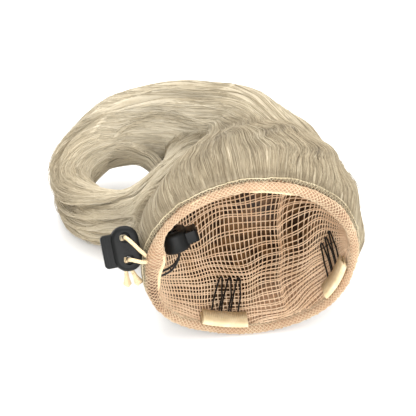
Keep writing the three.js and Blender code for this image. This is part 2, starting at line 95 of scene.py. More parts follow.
def mixColour(tree, factor, first, second, blend="MIX"):
    return shaderNode(tree, "Mix", {0: factor, 6: first, 7: second}, data_type="RGBA", blend_type=blend).outputs[2]


def ramp(tree, factor, stops):
    made = shaderNode(tree, "ValToRGB", {0: factor})
    elements = made.color_ramp.elements
    while len(elements) < len(stops):
        elements.new(0.5)
    for element, (place, colour) in zip(elements, stops):
        element.position, element.color = place, colour
    return made.outputs[0]


def attribute(tree, name):
    return shaderNode(tree, "Attribute", attribute_name=name).outputs["Fac"]


# inputs without a value are vectors
def newGroup(name, inputs, outputs):
    tree = bpy.data.node_groups.new(name, "ShaderNodeTree")
    for label, value in inputs.items():
        kind = "NodeSocketVector" if value is None else "NodeSocketFloat"
        socket = tree.interface.new_socket(label, in_out="INPUT", socket_type=kind)
        if value is not None:
            socket.default_value = value
    for label in outputs:
        tree.interface.new_socket(label, in_out="OUTPUT", socket_type="NodeSocketFloat")
    return tree, tree.nodes.new("NodeGroupInput").outputs, tree.nodes.new("NodeGroupOutput").inputs


def useGroup(tree, group, inputs):
    return shaderNode(tree, "Group", inputs, node_tree=group).outputs


# two-scale cloudiness for colour and roughness
def mottleGroup():
    tree, given, made = newGroup("fineMottle", {"Vector": None, "Coarse": 120.0, "Fine": 900.0}, ("Cloud", "Grain"))
    for scale, detail, label in (("Coarse", 3.0, "Cloud"), ("Fine", 2.0, "Grain")):
        noise = shaderNode(tree, "TexNoise", {"Vector": given["Vector"], "Scale": given[scale], "Detail": detail})
        tree.links.new(noise.outputs[0], made[label])
    return tree


# over-and-under threads from a two-way coordinate, about one thread a unit
def weaveGroup():
    tree, given, made = newGroup("wovenThreads", {"Across": 0.0, "Along": 0.0}, ("Height", "Gap"))
    waves = [mathNode(tree, "SINE", mathNode(tree, "MULTIPLY", given[label], math.pi)) for label in ("Across", "Along")]
    height = mathNode(tree, "MULTIPLY_ADD", mathNode(tree, "MULTIPLY", *waves), 0.5, 0.5)
    sizes = [mathNode(tree, "ABSOLUTE", wave) for wave in waves]
    gap = mathNode(tree, "SUBTRACT", 1.0, mathNode(tree, "MULTIPLY", *sizes), clamp=True)
    tree.links.new(height, made["Height"])
    tree.links.new(gap, made["Gap"])
    return tree


# streaks that run along a fibre: the across coordinate varies fast, the along one slowly
def fibreGroup():
    tree, given, made = newGroup("fibreStreaks", {"Across": 0.0, "Along": 0.0, "Rate": 1.0}, ("Streak",))
    across = mathNode(tree, "MULTIPLY", given["Across"], given["Rate"])
    joined = shaderNode(tree, "CombineXYZ", {"X": across, "Y": given["Along"]})
    noise = shaderNode(tree, "TexNoise", {
        "Vector": joined.outputs[0], "Scale": 1.0, "Detail": 3.0, "Roughness": 0.72})
    tree.links.new(noise.outputs[0], made["Streak"])
    return tree


mottle = mottleGroup()
weave = weaveGroup()
fibres = fibreGroup()


def newMaterial(name, roughness, specular=0.5, metallic=0.0):
    material = bpy.data.materials.new(name)
    material.use_nodes = True
    tree = material.node_tree
    shader = tree.nodes["Principled BSDF"].inputs
    shader["Roughness"].default_value = roughness
    shader["Specular IOR Level"].default_value = specular
    shader["Metallic"].default_value = metallic
    return material, tree, shader, shaderNode(tree, "TexCoord").outputs["Object"]


def clouds(tree, place, scales):
    return useGroup(tree, mottle, {"Vector": place, "Coarse": scales[0], "Fine": scales[1]})


# rough is a source, times and plus; bump is a height, strength and distance
def dress(tree, shader, colour, rough=None, bump=None):
    tree.links.new(colour, shader["Base Color"])
    if rough:
        tree.links.new(mathNode(tree, "MULTIPLY_ADD", *rough), shader["Roughness"])
    if bump:
        made = shaderNode(tree, "Bump", dict(zip(("Height", "Strength", "Distance"), bump)))
        tree.links.new(made.outputs[0], shader["Normal"])


def rgb(red, green, blue):
    def linear(value):
        value = value / 255
        return value / 12.92 if value <= 0.04045 else ((value + 0.055) / 1.055) ** 2.4
    return (linear(red), linear(green), linear(blue), 1)


hairTones = {
    "deep": rgb(112, 99, 77), "shade": rgb(154, 141, 117), "body": rgb(184, 172, 148),
    "light": rgb(206, 196, 174), "tip": rgb(224, 216, 199),
    # inner tones: painted shade on the cap's inner side, and near the mouth painted light with the hem lining's pink
    "innerDark": rgb(46, 29, 15), "innerMid": rgb(116, 85, 53), "innerPale": rgb(212, 176, 144),
}


def hairRamp(tree, factor, **places):
    return ramp(tree, factor, [(place, hairTones[tone]) for tone, place in places.items()])


# strands: each has its own tone, darker at its root; the tone also carries painted shade in the roll's creases and
# painted light on its inner side
def strandFinish():
    material, tree, shader, place = newMaterial("hairStrandFinish", 0.5, specular=0.36)
    cloud = clouds(tree, place, (60.0, 1400.0))
    colour = hairRamp(tree, attribute(tree, "tone"), deep=0.0, shade=0.25, body=0.55, light=0.82, tip=1.0)
    tint = mathNode(tree, "MULTIPLY", cloud["Cloud"], 0.35)
    tinted = mixColour(tree, tint, colour, hairTones["shade"], "SOFT_LIGHT")
    dress(tree, shader, tinted, (cloud["Grain"], 0.2, 0.5), (cloud["Grain"], 0.15, 0.0002))
    return material


# the hair under the strands, and its inner side behind the net, painted dark as shade in blotches, and paler and pinker
# near the mouth as painted light where light reaches in and as the hem lining there
def underHairFinish():
    material, tree, shader, place = newMaterial("underHairFinish", 0.5, specular=0.22)
    crown, curl = (useGroup(tree, fibres, {
        "Across": attribute(tree, part + "Across"), "Along": attribute(tree, part + "Along"), "Rate": 0.55})["Streak"]
        for part in ("crown", "curl"))
    streak = shaderNode(tree, "Mix", {0: attribute(tree, "onCurl"), 2: crown, 3: curl}, data_type="FLOAT").outputs[0]
    # pale lightens the outer hair: its own tone along the roll, with painted light on the roll's shaded inner side
    lifted = mathNode(tree, "MULTIPLY_ADD", attribute(tree, "pale"), 0.6, streak)
    outer = hairRamp(tree, lifted, deep=0.24, shade=0.40, body=0.52, light=0.74)
    cloud = clouds(tree, place, (130.0, 900.0))
    # painted shade: dark and mid brown blotches over the inner side
    deep = hairRamp(tree, cloud["Cloud"], innerDark=0.40, innerMid=0.64)
    inner = mixColour(tree, attribute(tree, "nearMouth"), deep, hairTones["innerPale"])
    colour = mixColour(tree, attribute(tree, "inside"), outer, inner)
    dress(tree, shader, colour, (streak, 0.25, 0.36), (streak, 0.7, 0.0006))
    return material


def threadFinish(name, pale, dark):
    material, tree, shader, place = newMaterial(name, 0.8)
    cloud = clouds(tree, place, (90.0, 2600.0))
    colour = ramp(tree, cloud["Cloud"], [(0.3, dark), (0.7, pale)])
    fuzz = mixColour(tree, mathNode(tree, "MULTIPLY", cloud["Grain"], 0.3), colour, dark)
    dress(tree, shader, fuzz, bump=(cloud["Grain"], 0.4, 0.0002))
    return material


# woven cloth with darker gaps, and where it is opened a dark colour painted in as the shaded hair behind
def wovenFinish(name, roughness, scales, stops, gapShare, gapColour, bump, opened=None):
    material, tree, shader, place = newMaterial(name, roughness)
    woven = useGroup(tree, weave, {"Across": attribute(tree, "across"), "Along": attribute(tree, "along")})
    colour = ramp(tree, clouds(tree, place, scales)["Cloud"], stops)
    colour = mixColour(tree, mathNode(tree, "MULTIPLY", woven["Gap"], gapShare), colour, gapColour)
    if opened:
        colour = mixColour(tree, attribute(tree, "opened"), colour, opened)
    dress(tree, shader, colour, bump=(woven["Height"], *bump))
    return material


def cordFinish(name, pale, dark, rate):
    material, tree, shader, place = newMaterial(name, 0.75)
    slanted = [shaderNode(tree, "TexWave", {"Vector": place, "Scale": rate, "Distortion": 1.5, "Detail": 1.0},
                          wave_type="BANDS", bands_direction=way).outputs["Fac"] for way in ("DIAGONAL", "Z")]
    plait = mathNode(tree, "MULTIPLY", *slanted)
    dress(tree, shader, ramp(tree, plait, [(0.0, dark), (0.45, pale)]), bump=(plait, 0.5, 0.0003))
    return material


# smooth stuff with clouds of two colours, roughness and bump by its grain
def plainFinish(name, roughness, scales, stops, rough=None, bump=None, **settings):
    material, tree, shader, place = newMaterial(name, roughness, **settings)
    cloud = clouds(tree, place, scales)
    colour = ramp(tree, cloud["Cloud"], stops)
    dress(tree, shader, colour, rough and (cloud["Grain"], *rough), bump and (cloud["Grain"], *bump))
    return material


finishes = {
    "strand": strandFinish(),
    "underHair": underHairFinish(),
    "netThread": threadFinish("netThreadFinish", rgb(240, 212, 180), rgb(222, 188, 152)),
    "hemThread": threadFinish("hemThreadFinish", rgb(218, 198, 166), rgb(200, 168, 136)),
    "stitch": threadFinish("stitchThreadFinish", rgb(222, 210, 180), rgb(200, 184, 150)),
    "band": wovenFinish(
        "casingKnitFinish", 0.88, (140.0, 1800.0),
        [(0.3, rgb(168, 138, 108)), (0.5, rgb(180, 153, 123)), (0.72, rgb(192, 170, 139))],
        0.5, rgb(176, 126, 98), (0.7, 0.0004), opened=rgb(84, 56, 35)),
    "tape": wovenFinish(
        "combTapeFinish", 0.85, (200.0, 2200.0),
        [(0.3, rgb(226, 203, 160)), (0.55, rgb(240, 221, 182)), (0.75, rgb(247, 231, 198))],
        0.35, rgb(196, 168, 122), (0.6, 0.0003)),
    "cord": cordFinish("creamCordFinish", rgb(243, 226, 190), rgb(206, 176, 130), 420.0),
    "blackCord": cordFinish("blackElasticFinish", rgb(38, 36, 34), rgb(12, 11, 11), 700.0),
    "plastic": plainFinish(
        "lockPlasticFinish", 0.48, (70.0, 2400.0), [(0.3, rgb(9, 10, 10)), (0.7, rgb(17, 18, 17))],
        (0.25, 0.36), (0.12, 0.0002), specular=0.2),
    "wire": plainFinish(
        "combWireFinish", 0.38, (300.0, 3000.0), [(0.35, rgb(20, 19, 18)), (0.75, rgb(44, 42, 40))],
        (0.3, 0.25), metallic=0.4),
    "floor": plainFinish(
        "floorFinish", 0.9, (3.0, 40.0), [(0.3, (0.90, 0.90, 0.90, 1)), (0.7, (0.93, 0.93, 0.93, 1))]),
}
print("materials made")


# pieces: link, body and the CAD nodes they stand for, which are hidden
def finishPiece(piece, slot, *nodes, body="hairpiece"):
    scene.collection.objects.link(piece)
    if piece.type == "MESH":
        piece.data.shade_smooth()
    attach(piece, body)
    if nodes:
        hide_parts(*nodes)
    return piece


def pieceFromBmesh(name, shape, finish):
    mesh = bpy.data.meshes.new(name)
    shape.to_mesh(mesh)
    shape.free()
    mesh.materials.append(finishes[finish])
    return bpy.data.objects.new(name, mesh)


def addModifier(piece, kind, **settings):
    made = piece.modifiers.new(kind.lower(), kind)
    for key, value in settings.items():
        setattr(made, key, value)


# the mesh with its modifiers applied
def baked(piece):
    scene.collection.objects.link(piece)
    bpy.context.view_layer.update()
    depsgraph = bpy.context.evaluated_depsgraph_get()
    mesh = bpy.data.meshes.new_from_object(piece.evaluated_get(depsgraph))
    scene.collection.objects.unlink(piece)
    return mesh


def bakedPiece(piece, name):
    mesh = baked(piece)
    mesh.name = name
    return bpy.data.objects.new(name, mesh)


def cutBy(piece, cutter, **settings):
    scene.collection.objects.link(cutter)
    addModifier(piece, "BOOLEAN", operation="DIFFERENCE", object=cutter, **settings)
    mesh = baked(piece)
    scene.collection.objects.unlink(cutter)
    return mesh


# a net: the edges of a shape as threads
def threadPiece(name, shape, finish, thickness, **settings):
    rough = pieceFromBmesh(name + "Flat", shape, finish)
    addModifier(rough, "WIREFRAME", thickness=thickness, use_replace=True, use_even_offset=False, **settings)
    return bakedPiece(rough, name)


def readMesh(items, key, kind=float, size=3):
    values = np.empty(len(items) * size, dtype=kind)
    items.foreach_get(key, values)
    return values.reshape(-1, size)


def setAttribute(mesh, name, values):
    made = mesh.attributes.new(name, "FLOAT", "POINT")
    made.data.foreach_set("value", np.ascontiguousarray(values, dtype=np.float32))


def smoothstep(low, high, values):
    share = np.clip((values - low) / (high - low), 0, 1)
    return share * share * (3 - 2 * share)


def bell(away, width):
    return np.exp(-(away / width) ** 2)


# difference of two angles in degrees, from -180 to 180
def degreesFrom(angle, other):
    return (angle - other + 180) % 360 - 180


def unit(vectors):
    return vectors / np.maximum(np.linalg.norm(vectors, axis=-1, keepdims=True), 1e-12)


# soft seeded ripple over space, about -1 to 1
def ripple(points, size, seed):
    rng = np.random.default_rng(seed)
    waves = unit(rng.normal(size=(7, points.shape[-1]))) * rng.uniform(0.6, 1.5, (7, 1))
    phases = rng.uniform(0, 2 * math.pi, 7)
    return np.sin(points @ waves.T * (2 * math.pi / size) + phases).sum(axis=-1) / 2.6


# rows of a table at shares of its length, eased through the neighbours
def tableAt(table, shares):
    table = np.asarray(table, dtype=float)
    last = len(table) - 1
    padded = np.vstack((2 * table[0] - table[1], table, 2 * table[-1] - table[-2]))
    place = np.clip(shares, 0, 1) * last
    index = np.minimum(place.astype(int), last - 1)
    t = (place - index)[..., None]
    before, start, end, after = (padded[index + step] for step in range(4))
    bend = 2 * before - 5 * start + 4 * end - after
    twist = 3 * (start - end) + after - before
    return start + 0.5 * t * (end - before + t * (bend + t * twist))


# cap and locks of hair: the part's own stations, in millimetres
capSections = [  # y, x, z, half width, half height
    (-29.9, 0, 56, 56, 52), (-16, 0, 57, 56, 51), (2, 1.5, 58, 53, 48.5), (17, 4, 57.5, 46, 44),
    (30, 7, 56, 36.5, 36), (39, 9, 54, 24, 25), (44, 10.5, 52.5, 11, 12), (46, 11, 52, 0, 0),
]
capHeart = np.array((0, -12, 57)) * mm
capHub = (3 * mm, 57 * mm)  # x and z that angles round the cap are taken from
curlStations = [  # x, y, z, half thickness, half height
    (24, 24, 76, 13, 13), (13, 47, 81, 19, 24.5), (-6, 71, 68, 20, 30), (-30, 92.5, 57, 18, 28),
    (-57, 104, 46.5, 15.5, 22.5), (-79, 98, 36, 14, 18.5), (-94, 83, 26, 13.5, 19),
    (-91, 65, 20.5, 13, 20.5), (-78, 53, 20.5, 12.5, 21), (-59, 50, 25.5, 11.5, 20.5),
    (-42, 54, 37.5, 10, 17), (-26, 55, 51, 12.5, 14.5), (-8, 46, 60, 10, 12),
]
innerStations = [
    (-74, 94, 38, 4.5, 6), (-58, 89, 42, 5, 6.5), (-47, 81.5, 38.5, 4.5, 6),
    (-38, 72, 35, 4, 5.5), (-36, 60, 36, 3.5, 5),
]
eyeStations = [  # strands only, over the eye of the roll
    (-86, 91, 27, 2, 3), (-75, 92, 28.5, 3, 4), (-67, 91, 32, 3.5, 4.5), (-59, 88, 36.5, 4, 5),
    (-52, 84, 39, 4, 5), (-45, 77, 40, 4, 5), (-41.5, 67, 39.5, 3.5, 4.5), (-40, 57, 40, 3, 4),
]


# the mouth isn't a true oval: outward shifts round it, fading with depth and towards its middle
mouthShape = {
    "bulges": [(213, 26, 4.5), (318, 20, 1.6)],  # angle and half width in degrees, shift in millimetres
    "fade": (-26 * mm, 14 * mm), "reach": (20 * mm, 45 * mm), "middle": (0, 56 * mm),
}


def warpMouth(points):
    offX, offZ = points[..., 0] - mouthShape["middle"][0], points[..., 2] - mouthShape["middle"][1]
    reach = np.maximum(np.hypot(offX, offZ), 1e-6)
    angle = np.degrees(np.arctan2(offZ, offX))
    out = sum(shift * mm * bell(degreesFrom(angle, at), width) for at, width, shift in mouthShape["bulges"])
    out *= (1 - smoothstep(*mouthShape["fade"], points[..., 1])) * smoothstep(*mouthShape["reach"], reach)
    moved = np.array(points, dtype=float)
    moved[..., 0] += out * offX / reach
    moved[..., 2] += out * offZ / reach
    return moved


def capPoint(angles, shares, lift):
    y, x, z, halfWidth, halfHeight = np.moveaxis(tableAt(capSections, shares) * mm, -1, 0)
    points = np.stack((x + np.maximum(halfWidth, 0) * np.cos(angles), y,
                       z + np.maximum(halfHeight, 0) * np.sin(angles)), axis=-1)
    return warpMouth(points + unit(capHeart - points) * np.asarray(lift)[..., None])


# points round the cap, a column for each angle
def capColumns(around, deepest, rows, room):
    turns = np.linspace(0, 2 * math.pi, around + 1)[:-1]
    angles, shares = np.meshgrid(turns, np.linspace(0, deepest, rows), indexing="ij")
    return capPoint(angles, shares, np.full(shares.shape, -room))


def lockFrames(stations, samples):
    rows = tableAt(stations, np.linspace(0, 1, samples)) * mm
    centre = rows[:, :3]
    ahead = unit(np.gradient(centre, axis=0))
    side = unit(np.cross(ahead, (0, 0, 1)))
    return {"centre": centre, "ahead": ahead, "side": side, "rise": np.cross(side, ahead),
            "thick": rows[:, 3], "height": rows[:, 4]}


def lengthOf(points):
    return float(np.linalg.norm(np.diff(points, axis=0), axis=1).sum())


curlFrames = lockFrames(curlStations, 240)
innerFrames = lockFrames(innerStations, 60)
eyeFrames = lockFrames(eyeStations, 60)
curlLength = lengthOf(curlFrames["centre"])


# nearest place on the roll: index, share, angle from its outer side and distance in its own radii
def onRoll(points):
    gaps = np.linalg.norm(points[:, None, :] - curlFrames["centre"][None, :, :], axis=2)
    index = gaps.argmin(axis=1)
    off = points - curlFrames["centre"][index]
    across = (off * curlFrames["side"][index]).sum(axis=1) / curlFrames["thick"][index]
    up = (off * curlFrames["rise"][index]).sum(axis=1) / curlFrames["height"][index]
    return index, index / (len(curlFrames["centre"]) - 1), np.arctan2(up, across), np.hypot(across, up)


# hair underneath: the CAD forms fused, softened and creased between the locks
underHair = {
    "voxel": 1.75 * mm, "softenTimes": 6, "bridgeSoften": 45,
    "hollowGrid": (72, 0.985, 44),  # columns, deepest share and rows of the cap's hollow
    "hollowRoom": 1.2 * mm,      # round the net where bridges are cut
    "innerBack": 1.3 * mm,       # room kept behind the net
    "bridges": [  # hair that fills the corners where the tail leaves the crown
        {"middle": (10, 34, 78), "radii": (27, 38, 28)},
        {"middle": (21, 36, 67), "radii": (31, 27, 31)},
        {"middle": (-47, 37, 30), "radii": (13, 14, 20)},
        {"middle": (-23, 68, 46), "radii": (15, 14, 14)},
    ],
    "bridgeReach": 9,            # how far round a bridge the joins are softened
    "swell": {"angle": -15, "width": 22, "out": 3.0 * mm, "from": (-31 * mm, -18 * mm), "to": (16 * mm, 46 * mm)},
    "creases": [  # shares along the roll with angles round it, depth, half width in degrees
        {"line": [(0.12, 118), (0.28, 116), (0.33, 115), (0.39, 86), (0.44, 68), (0.50, 68), (0.56, 46)],
         "depth": 3.8, "width": 9},
        {"line": [(0.51, -26), (0.58, 12), (0.62, 32), (0.67, 48), (0.75, 66), (0.86, 80)], "depth": 5.4, "width": 9},
        {"line": [(0.54, -34), (0.65, 8), (0.71, 13), (0.88, 18)], "depth": 2.6, "width": 7},
        {"line": [(0.55, -56), (0.65, -28), (0.69, -20), (0.88, -12)], "depth": 2.2, "width": 7},
        {"line": [(0.58, -70), (0.67, -54), (0.88, -40)], "depth": 1.8, "width": 7},
        {"line": [(0.15, 160), (0.25, 149), (0.30, 158), (0.38, 172)], "depth": 3.2, "width": 8},
        {"line": [(0.10, 90), (0.34, 92), (0.42, 50)], "depth": 1.4, "width": 6},
        {"line": [(0.10, 36), (0.34, 30), (0.44, 4)], "depth": 1.5, "width": 7},
        {"line": [(0.46, -14), (0.76, -14)], "depth": 4.6, "width": 38},   # hollow of the front turn
        {"line": [(0.08, 88), (0.36, 88)], "depth": 3.4, "width": 46},     # flattened top of the roll
        {"line": [(0.60, 112), (0.86, 108)], "depth": 1.6, "width": 34},   # the band's upper edge
        {"line": [(0.66, 104), (0.99, 100)], "depth": 5.6, "width": 40, "fade": 0.14},
    ],
    "broad": 20,                 # wider creases are hollows, which cast no shade
    "twist": [  # how far strands have turned round the roll, by share, in degrees
        (0, 0), (0.28, 0), (0.33, -4), (0.39, -30), (0.44, -46), (0.50, -44), (0.54, -32), (0.58, -8),
        (0.62, 10), (0.67, 26), (0.75, 44), (0.86, 56), (1, 60),
    ],
    "pale": [  # how much lighter the hair is along the roll, by share
        (0, -0.06), (0.12, 0.03), (0.28, 0.19), (0.36, 0.16), (0.42, 0.08), (0.48, -0.04), (0.56, -0.12),
        (0.64, 0.02), (0.75, 0.18), (0.86, 0.12), (1, 0.0),
    ],
    # painted light on the roll's shaded side towards its eye
    "paintedLightInner": (165, 55, 0.12),  # on the side towards its eye: angle, half width, amount
    "paleCrown": -0.22,
}


def cadCopy(*names):
    shape = bmesh.new()
    for name in names:
        shape.from_mesh(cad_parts[name].data)
    bmesh.ops.remove_doubles(shape, verts=shape.verts, dist=2e-6)
    return shape


def twistAt(share):
    return np.radians(np.interp(share, *zip(*underHair["twist"])))


# how much lighter the hair is: its own tone along the roll and on the crown, plus painted light on the roll's shaded
# inner side
def paleness(angle, share, onCurl):
    at, width, amount = underHair["paintedLightInner"]
    roll = np.interp(share, *zip(*underHair["pale"])) + amount * bell(degreesFrom(np.degrees(angle), at), width)
    return onCurl * roll + (1 - onCurl) * underHair["paleCrown"]


def creaseDepth(angle, share, broad=True):
    depth = np.zeros_like(angle)
    for crease in underHair["creases"]:
        if crease["width"] > underHair["broad"] and not broad:
            continue
        shares, angles = zip(*crease["line"])
        away = degreesFrom(np.degrees(angle), np.interp(share, shares, angles))
        first, last, fade = shares[0], shares[-1], crease.get("fade", 0.08)
        reach = smoothstep(first, first + fade, share) * (1 - smoothstep(last - fade, last, share))
        depth += crease["depth"] * mm * reach * bell(away, crease["width"])
    return depth


# how far a point is outside the cap's oval at its depth
def outsideCap(points):
    shares = np.linspace(0, 1, 200)
    shareAt = np.interp(points[:, 1], tableAt(capSections, shares)[:, 0] * mm, shares)
    y, x, z, halfWidth, halfHeight = np.moveaxis(tableAt(capSections, shareAt) * mm, -1, 0)
    halfWidth, halfHeight = np.maximum(halfWidth, 1e-4), np.maximum(halfHeight, 1e-4)
    return np.hypot((points[:, 0] - x) / halfWidth, (points[:, 2] - z) / halfHeight) * halfWidth - halfWidth


# the cap's hollow as a solid, a little larger than the net
def hollowSolid():
    shape = bmesh.new()
    columns = capColumns(*underHair["hollowGrid"], underHair["hollowRoom"])
    rings = [[shape.verts.new(point) for point in ring] for ring in np.swapaxes(columns, 0, 1)]
    for ring, following in zip(rings, rings[1:]):
        for place in range(len(ring)):
            beside = (place + 1) % len(ring)
            shape.faces.new((ring[place], ring[beside], following[beside], following[place]))
    shape.faces.new(rings[0])
    shape.faces.new(rings[-1])
    bmesh.ops.recalc_face_normals(shape, faces=shape.faces)
    return pieceFromBmesh("capHollow", shape, "underHair")


def bridgeMesh(bridge, hollow):
    shape = bmesh.new()
    size = Matrix.Diagonal((*(radius * mm for radius in bridge["radii"]), 1))
    place = Matrix.Translation(Vector(bridge["middle"]) * mm) @ size
    bmesh.ops.create_icosphere(shape, subdivisions=4, radius=1, matrix=place)
    return cutBy(pieceFromBmesh("bridge", shape, "underHair"), hollow)


# which points lie in a bridge that is grown by reach, in millimetres
def inBridge(points, bridge, reach):
    off = (points / mm - np.array(bridge["middle"])) / (np.array(bridge["radii"]) + reach)
    return (off ** 2).sum(axis=1) < 1


def softenVerts(shape, chosen, times):
    for step in range(times):
        bmesh.ops.smooth_vert(shape, verts=chosen, factor=0.5, use_axis_x=True, use_axis_y=True, use_axis_z=True)


# evens out values over the mesh where the nearest part of the roll changes
def evened(mesh, share, values):
    edges = readMesh(mesh.edges, "vertices", np.int32, 2)
    seam = np.zeros(len(share), dtype=bool)
    seam[edges[np.abs(np.diff(share[edges], axis=1))[:, 0] > 0.1].ravel()] = True
    for ring in range(4):
        seam[edges[seam[edges].any(axis=1)].ravel()] = True
    count = np.bincount(edges.ravel(), minlength=len(share))
    for step in range(16):
        total = np.zeros(len(values))
        np.add.at(total, edges[:, 0], values[edges[:, 1]])
        np.add.at(total, edges[:, 1], values[edges[:, 0]])
        values = np.where(seam, 0.5 * values + 0.5 * total / count, values)
    return values


# angle round the cap, in degrees
def capTurn(points):
    return np.degrees(np.arctan2(points[:, 2] - capHub[1], points[:, 0] - capHub[0]))


def makeUnderHair():
    shape = cadCopy("hair_crown", "hair_curl")
    hollow = hollowSolid()
    for bridge in underHair["bridges"]:
        shape.from_mesh(bridgeMesh(bridge, hollow))
    bmesh.ops.recalc_face_normals(shape, faces=shape.faces)
    rough = pieceFromBmesh("underHairRough", shape, "underHair")
    addModifier(rough, "REMESH", mode="VOXEL", voxel_size=underHair["voxel"])
    piece = bakedPiece(rough, "underHair")
    mesh = piece.data
    shape = bmesh.new()
    shape.from_mesh(mesh)
    softenVerts(shape, shape.verts, underHair["softenTimes"])
    points = np.array([vertex.co[:] for vertex in shape.verts])
    near = np.any([inBridge(points, bridge, underHair["bridgeReach"]) for bridge in underHair["bridges"]], axis=0)
    near &= (outsideCap(points) >= 3 * mm) | (points[:, 1] >= 47 * mm)
    softenVerts(shape, [vertex for vertex, join in zip(shape.verts, near) if join], underHair["bridgeSoften"])
    shape.to_mesh(mesh)
    shape.free()
    points, normals = readMesh(mesh.vertices, "co"), readMesh(mesh.vertex_normals, "vector")
    index, share, angle, ratio = onRoll(points)
    onCurl = 1 - smoothstep(1.12, 1.5, ratio)
    facing = ((capHeart - points) * normals).sum(axis=1) > 0
    inside = (outsideCap(points) < 3.5 * mm) & (points[:, 1] < 46.5 * mm) & facing
    groove = evened(mesh, share, creaseDepth(angle, share) * onCurl)
    fine = 0.35 * mm * ripple(np.stack((angle * 14, share * 26), axis=1), 6.0, 3) * onCurl
    swell = underHair["swell"]
    swollen = swell["out"] * bell(degreesFrom(capTurn(points), swell["angle"]), swell["width"]) * (1 - onCurl)
    swollen *= (1 - smoothstep(*swell["to"], points[:, 1])) * smoothstep(*swell["from"], points[:, 1])
    shift = np.where(inside, -underHair["innerBack"], swollen - groove + fine)
    moved = warpMouth(points + normals * shift[:, None])
    moved[:, 2] = np.maximum(moved[:, 2], 0)
    mesh.vertices.foreach_set("co", moved.ravel())
    mesh.update()
    # painted light: the inner side is paler towards the mouth, and further in at the low right, where light reaches in;
    # the pink there is also the hem lining
    lowRight = smoothstep(-10 * mm, 20 * mm, points[:, 0]) * (points[:, 2] < 30 * mm)
    setAttribute(mesh, "inside", inside.astype(float))
    setAttribute(mesh, "nearMouth", 1 - smoothstep(-30 * mm, (30 * lowRight - 12) * mm, points[:, 1]))
    return finishPiece(piece, "hair", "hair_crown", "hair_curl"), inside


underHairPiece, underInside = makeUnderHair()
underPoints = readMesh(underHairPiece.data.vertices, "co")
underNormals = readMesh(underHairPiece.data.vertex_normals, "vector")
underTree = BVHTree.FromPolygons(
    [tuple(point) for point in underPoints], [tuple(face.vertices) for face in underHairPiece.data.polygons])
print("under hair", len(underPoints), "points")


# combing: strands leave the rim squarely, wave over the crown and sweep into the roll
crownFlow = {
    "topRoot": np.array((-10, 66, 94)) * mm,       # where the top strands run into the tail
    "leftRoot": np.array((-84, 46, 34)) * mm,      # where the low left strands run
    "leftFrom": (146, 168), "leftTo": (238, 262),  # angles round the cap that belong to the left root
    "leftUntil": 60 * mm,                          # and the depth
    "straightUntil": (-27 * mm, 6 * mm),           # depth over which strands turn towards their root
    "waveLength": 25 * mm, "waveTurn": 0.62,       # radians either way
    "waveFrom": (-27 * mm, -12 * mm),              # depth over which the waves begin
    "waveSide": (-42 * mm, 4 * mm),                # they are weaker on the left
}
strandShape = {
    "halfWidth": 0.18 * mm, "thickness": 0.24 * mm, "lift": 0.75 * mm, "strays": 0.01, "strayLift": 1.4 * mm,
    "kink": 0.72, "floor": 0.1 * mm,
}


def onSurface(points):
    places, normals = np.empty_like(points), np.empty_like(points)
    for number, point in enumerate(points):
        places[number], normals[number] = underTree.find_nearest(Vector(point))[:2]
    return places, normals


def turned(way, normals, angle):
    return way * np.cos(angle)[:, None] + np.cross(normals, way) * np.sin(angle)[:, None]


# direction of combing at points with surface normals, and how much darker the hair is there: painted shade in the
# roll's narrow creases, less its lighter tone and painted light
def combedWay(points, normals, swirl, jitter, waviness, fromCrown):
    index, share, angle, ratio = onRoll(points)
    onCurl = 1 - smoothstep(1.12, 1.7, ratio)
    turn = capTurn(points) % 360
    left = smoothstep(*crownFlow["leftFrom"], turn) * (1 - smoothstep(*crownFlow["leftTo"], turn))
    left = left * (points[:, 1] < crownFlow["leftUntil"]) if fromCrown else np.zeros(len(points))
    along = curlFrames["ahead"][index] * (1 - 2 * left[:, None])
    around = -np.sin(angle)[:, None] * curlFrames["side"][index] + np.cos(angle)[:, None] * curlFrames["rise"][index]
    slope = (twistAt(share + 0.012) - twistAt(share - 0.012)) / 0.024
    slope *= np.sqrt(curlFrames["thick"][index] * curlFrames["height"][index]) / curlLength
    tail = unit(along + (swirl + slope)[:, None] * around)
    root = left[:, None] * crownFlow["leftRoot"] + (1 - left[:, None]) * crownFlow["topRoot"]
    turnIn = smoothstep(*crownFlow["straightUntil"], points[:, 1])[:, None]
    crown = unit((1 - turnIn) * np.array((0.0, 1.0, 0.0)) + turnIn * unit(root - points))
    way = (1 - onCurl[:, None]) * crown + onCurl[:, None] * tail
    way = unit(way - normals * (way * normals).sum(axis=1, keepdims=True))
    reach = np.linalg.norm(crownFlow["topRoot"] - points, axis=1)
    phase = 1.2 * np.sin(np.radians(2 * turn) + 0.6) + jitter
    size = crownFlow["waveTurn"] * waviness * smoothstep(*crownFlow["waveFrom"], points[:, 1]) * (1 - onCurl)
    size *= (0.25 + 0.75 * smoothstep(*crownFlow["waveSide"], points[:, 0])) * (1 - 0.8 * left)
    size *= np.clip(0.72 + 0.42 * ripple(points, 70 * mm, 5), 0.15, 1.15)
    bend = size * np.sin(reach * (2 * math.pi / crownFlow["waveLength"]) + phase)
    # painted shade: darker along the roll's narrow creases
    shade = 0.26 * creaseDepth(angle, share, broad=False) * onCurl / (5 * mm) - paleness(angle, share, onCurl)
    return turned(way, normals, bend), shade


# part of the way from first to second, which may be vectors
def between(first, second, part):
    part = part if first.ndim == part.ndim else part[..., None]
    return first * (1 - part) + second * part


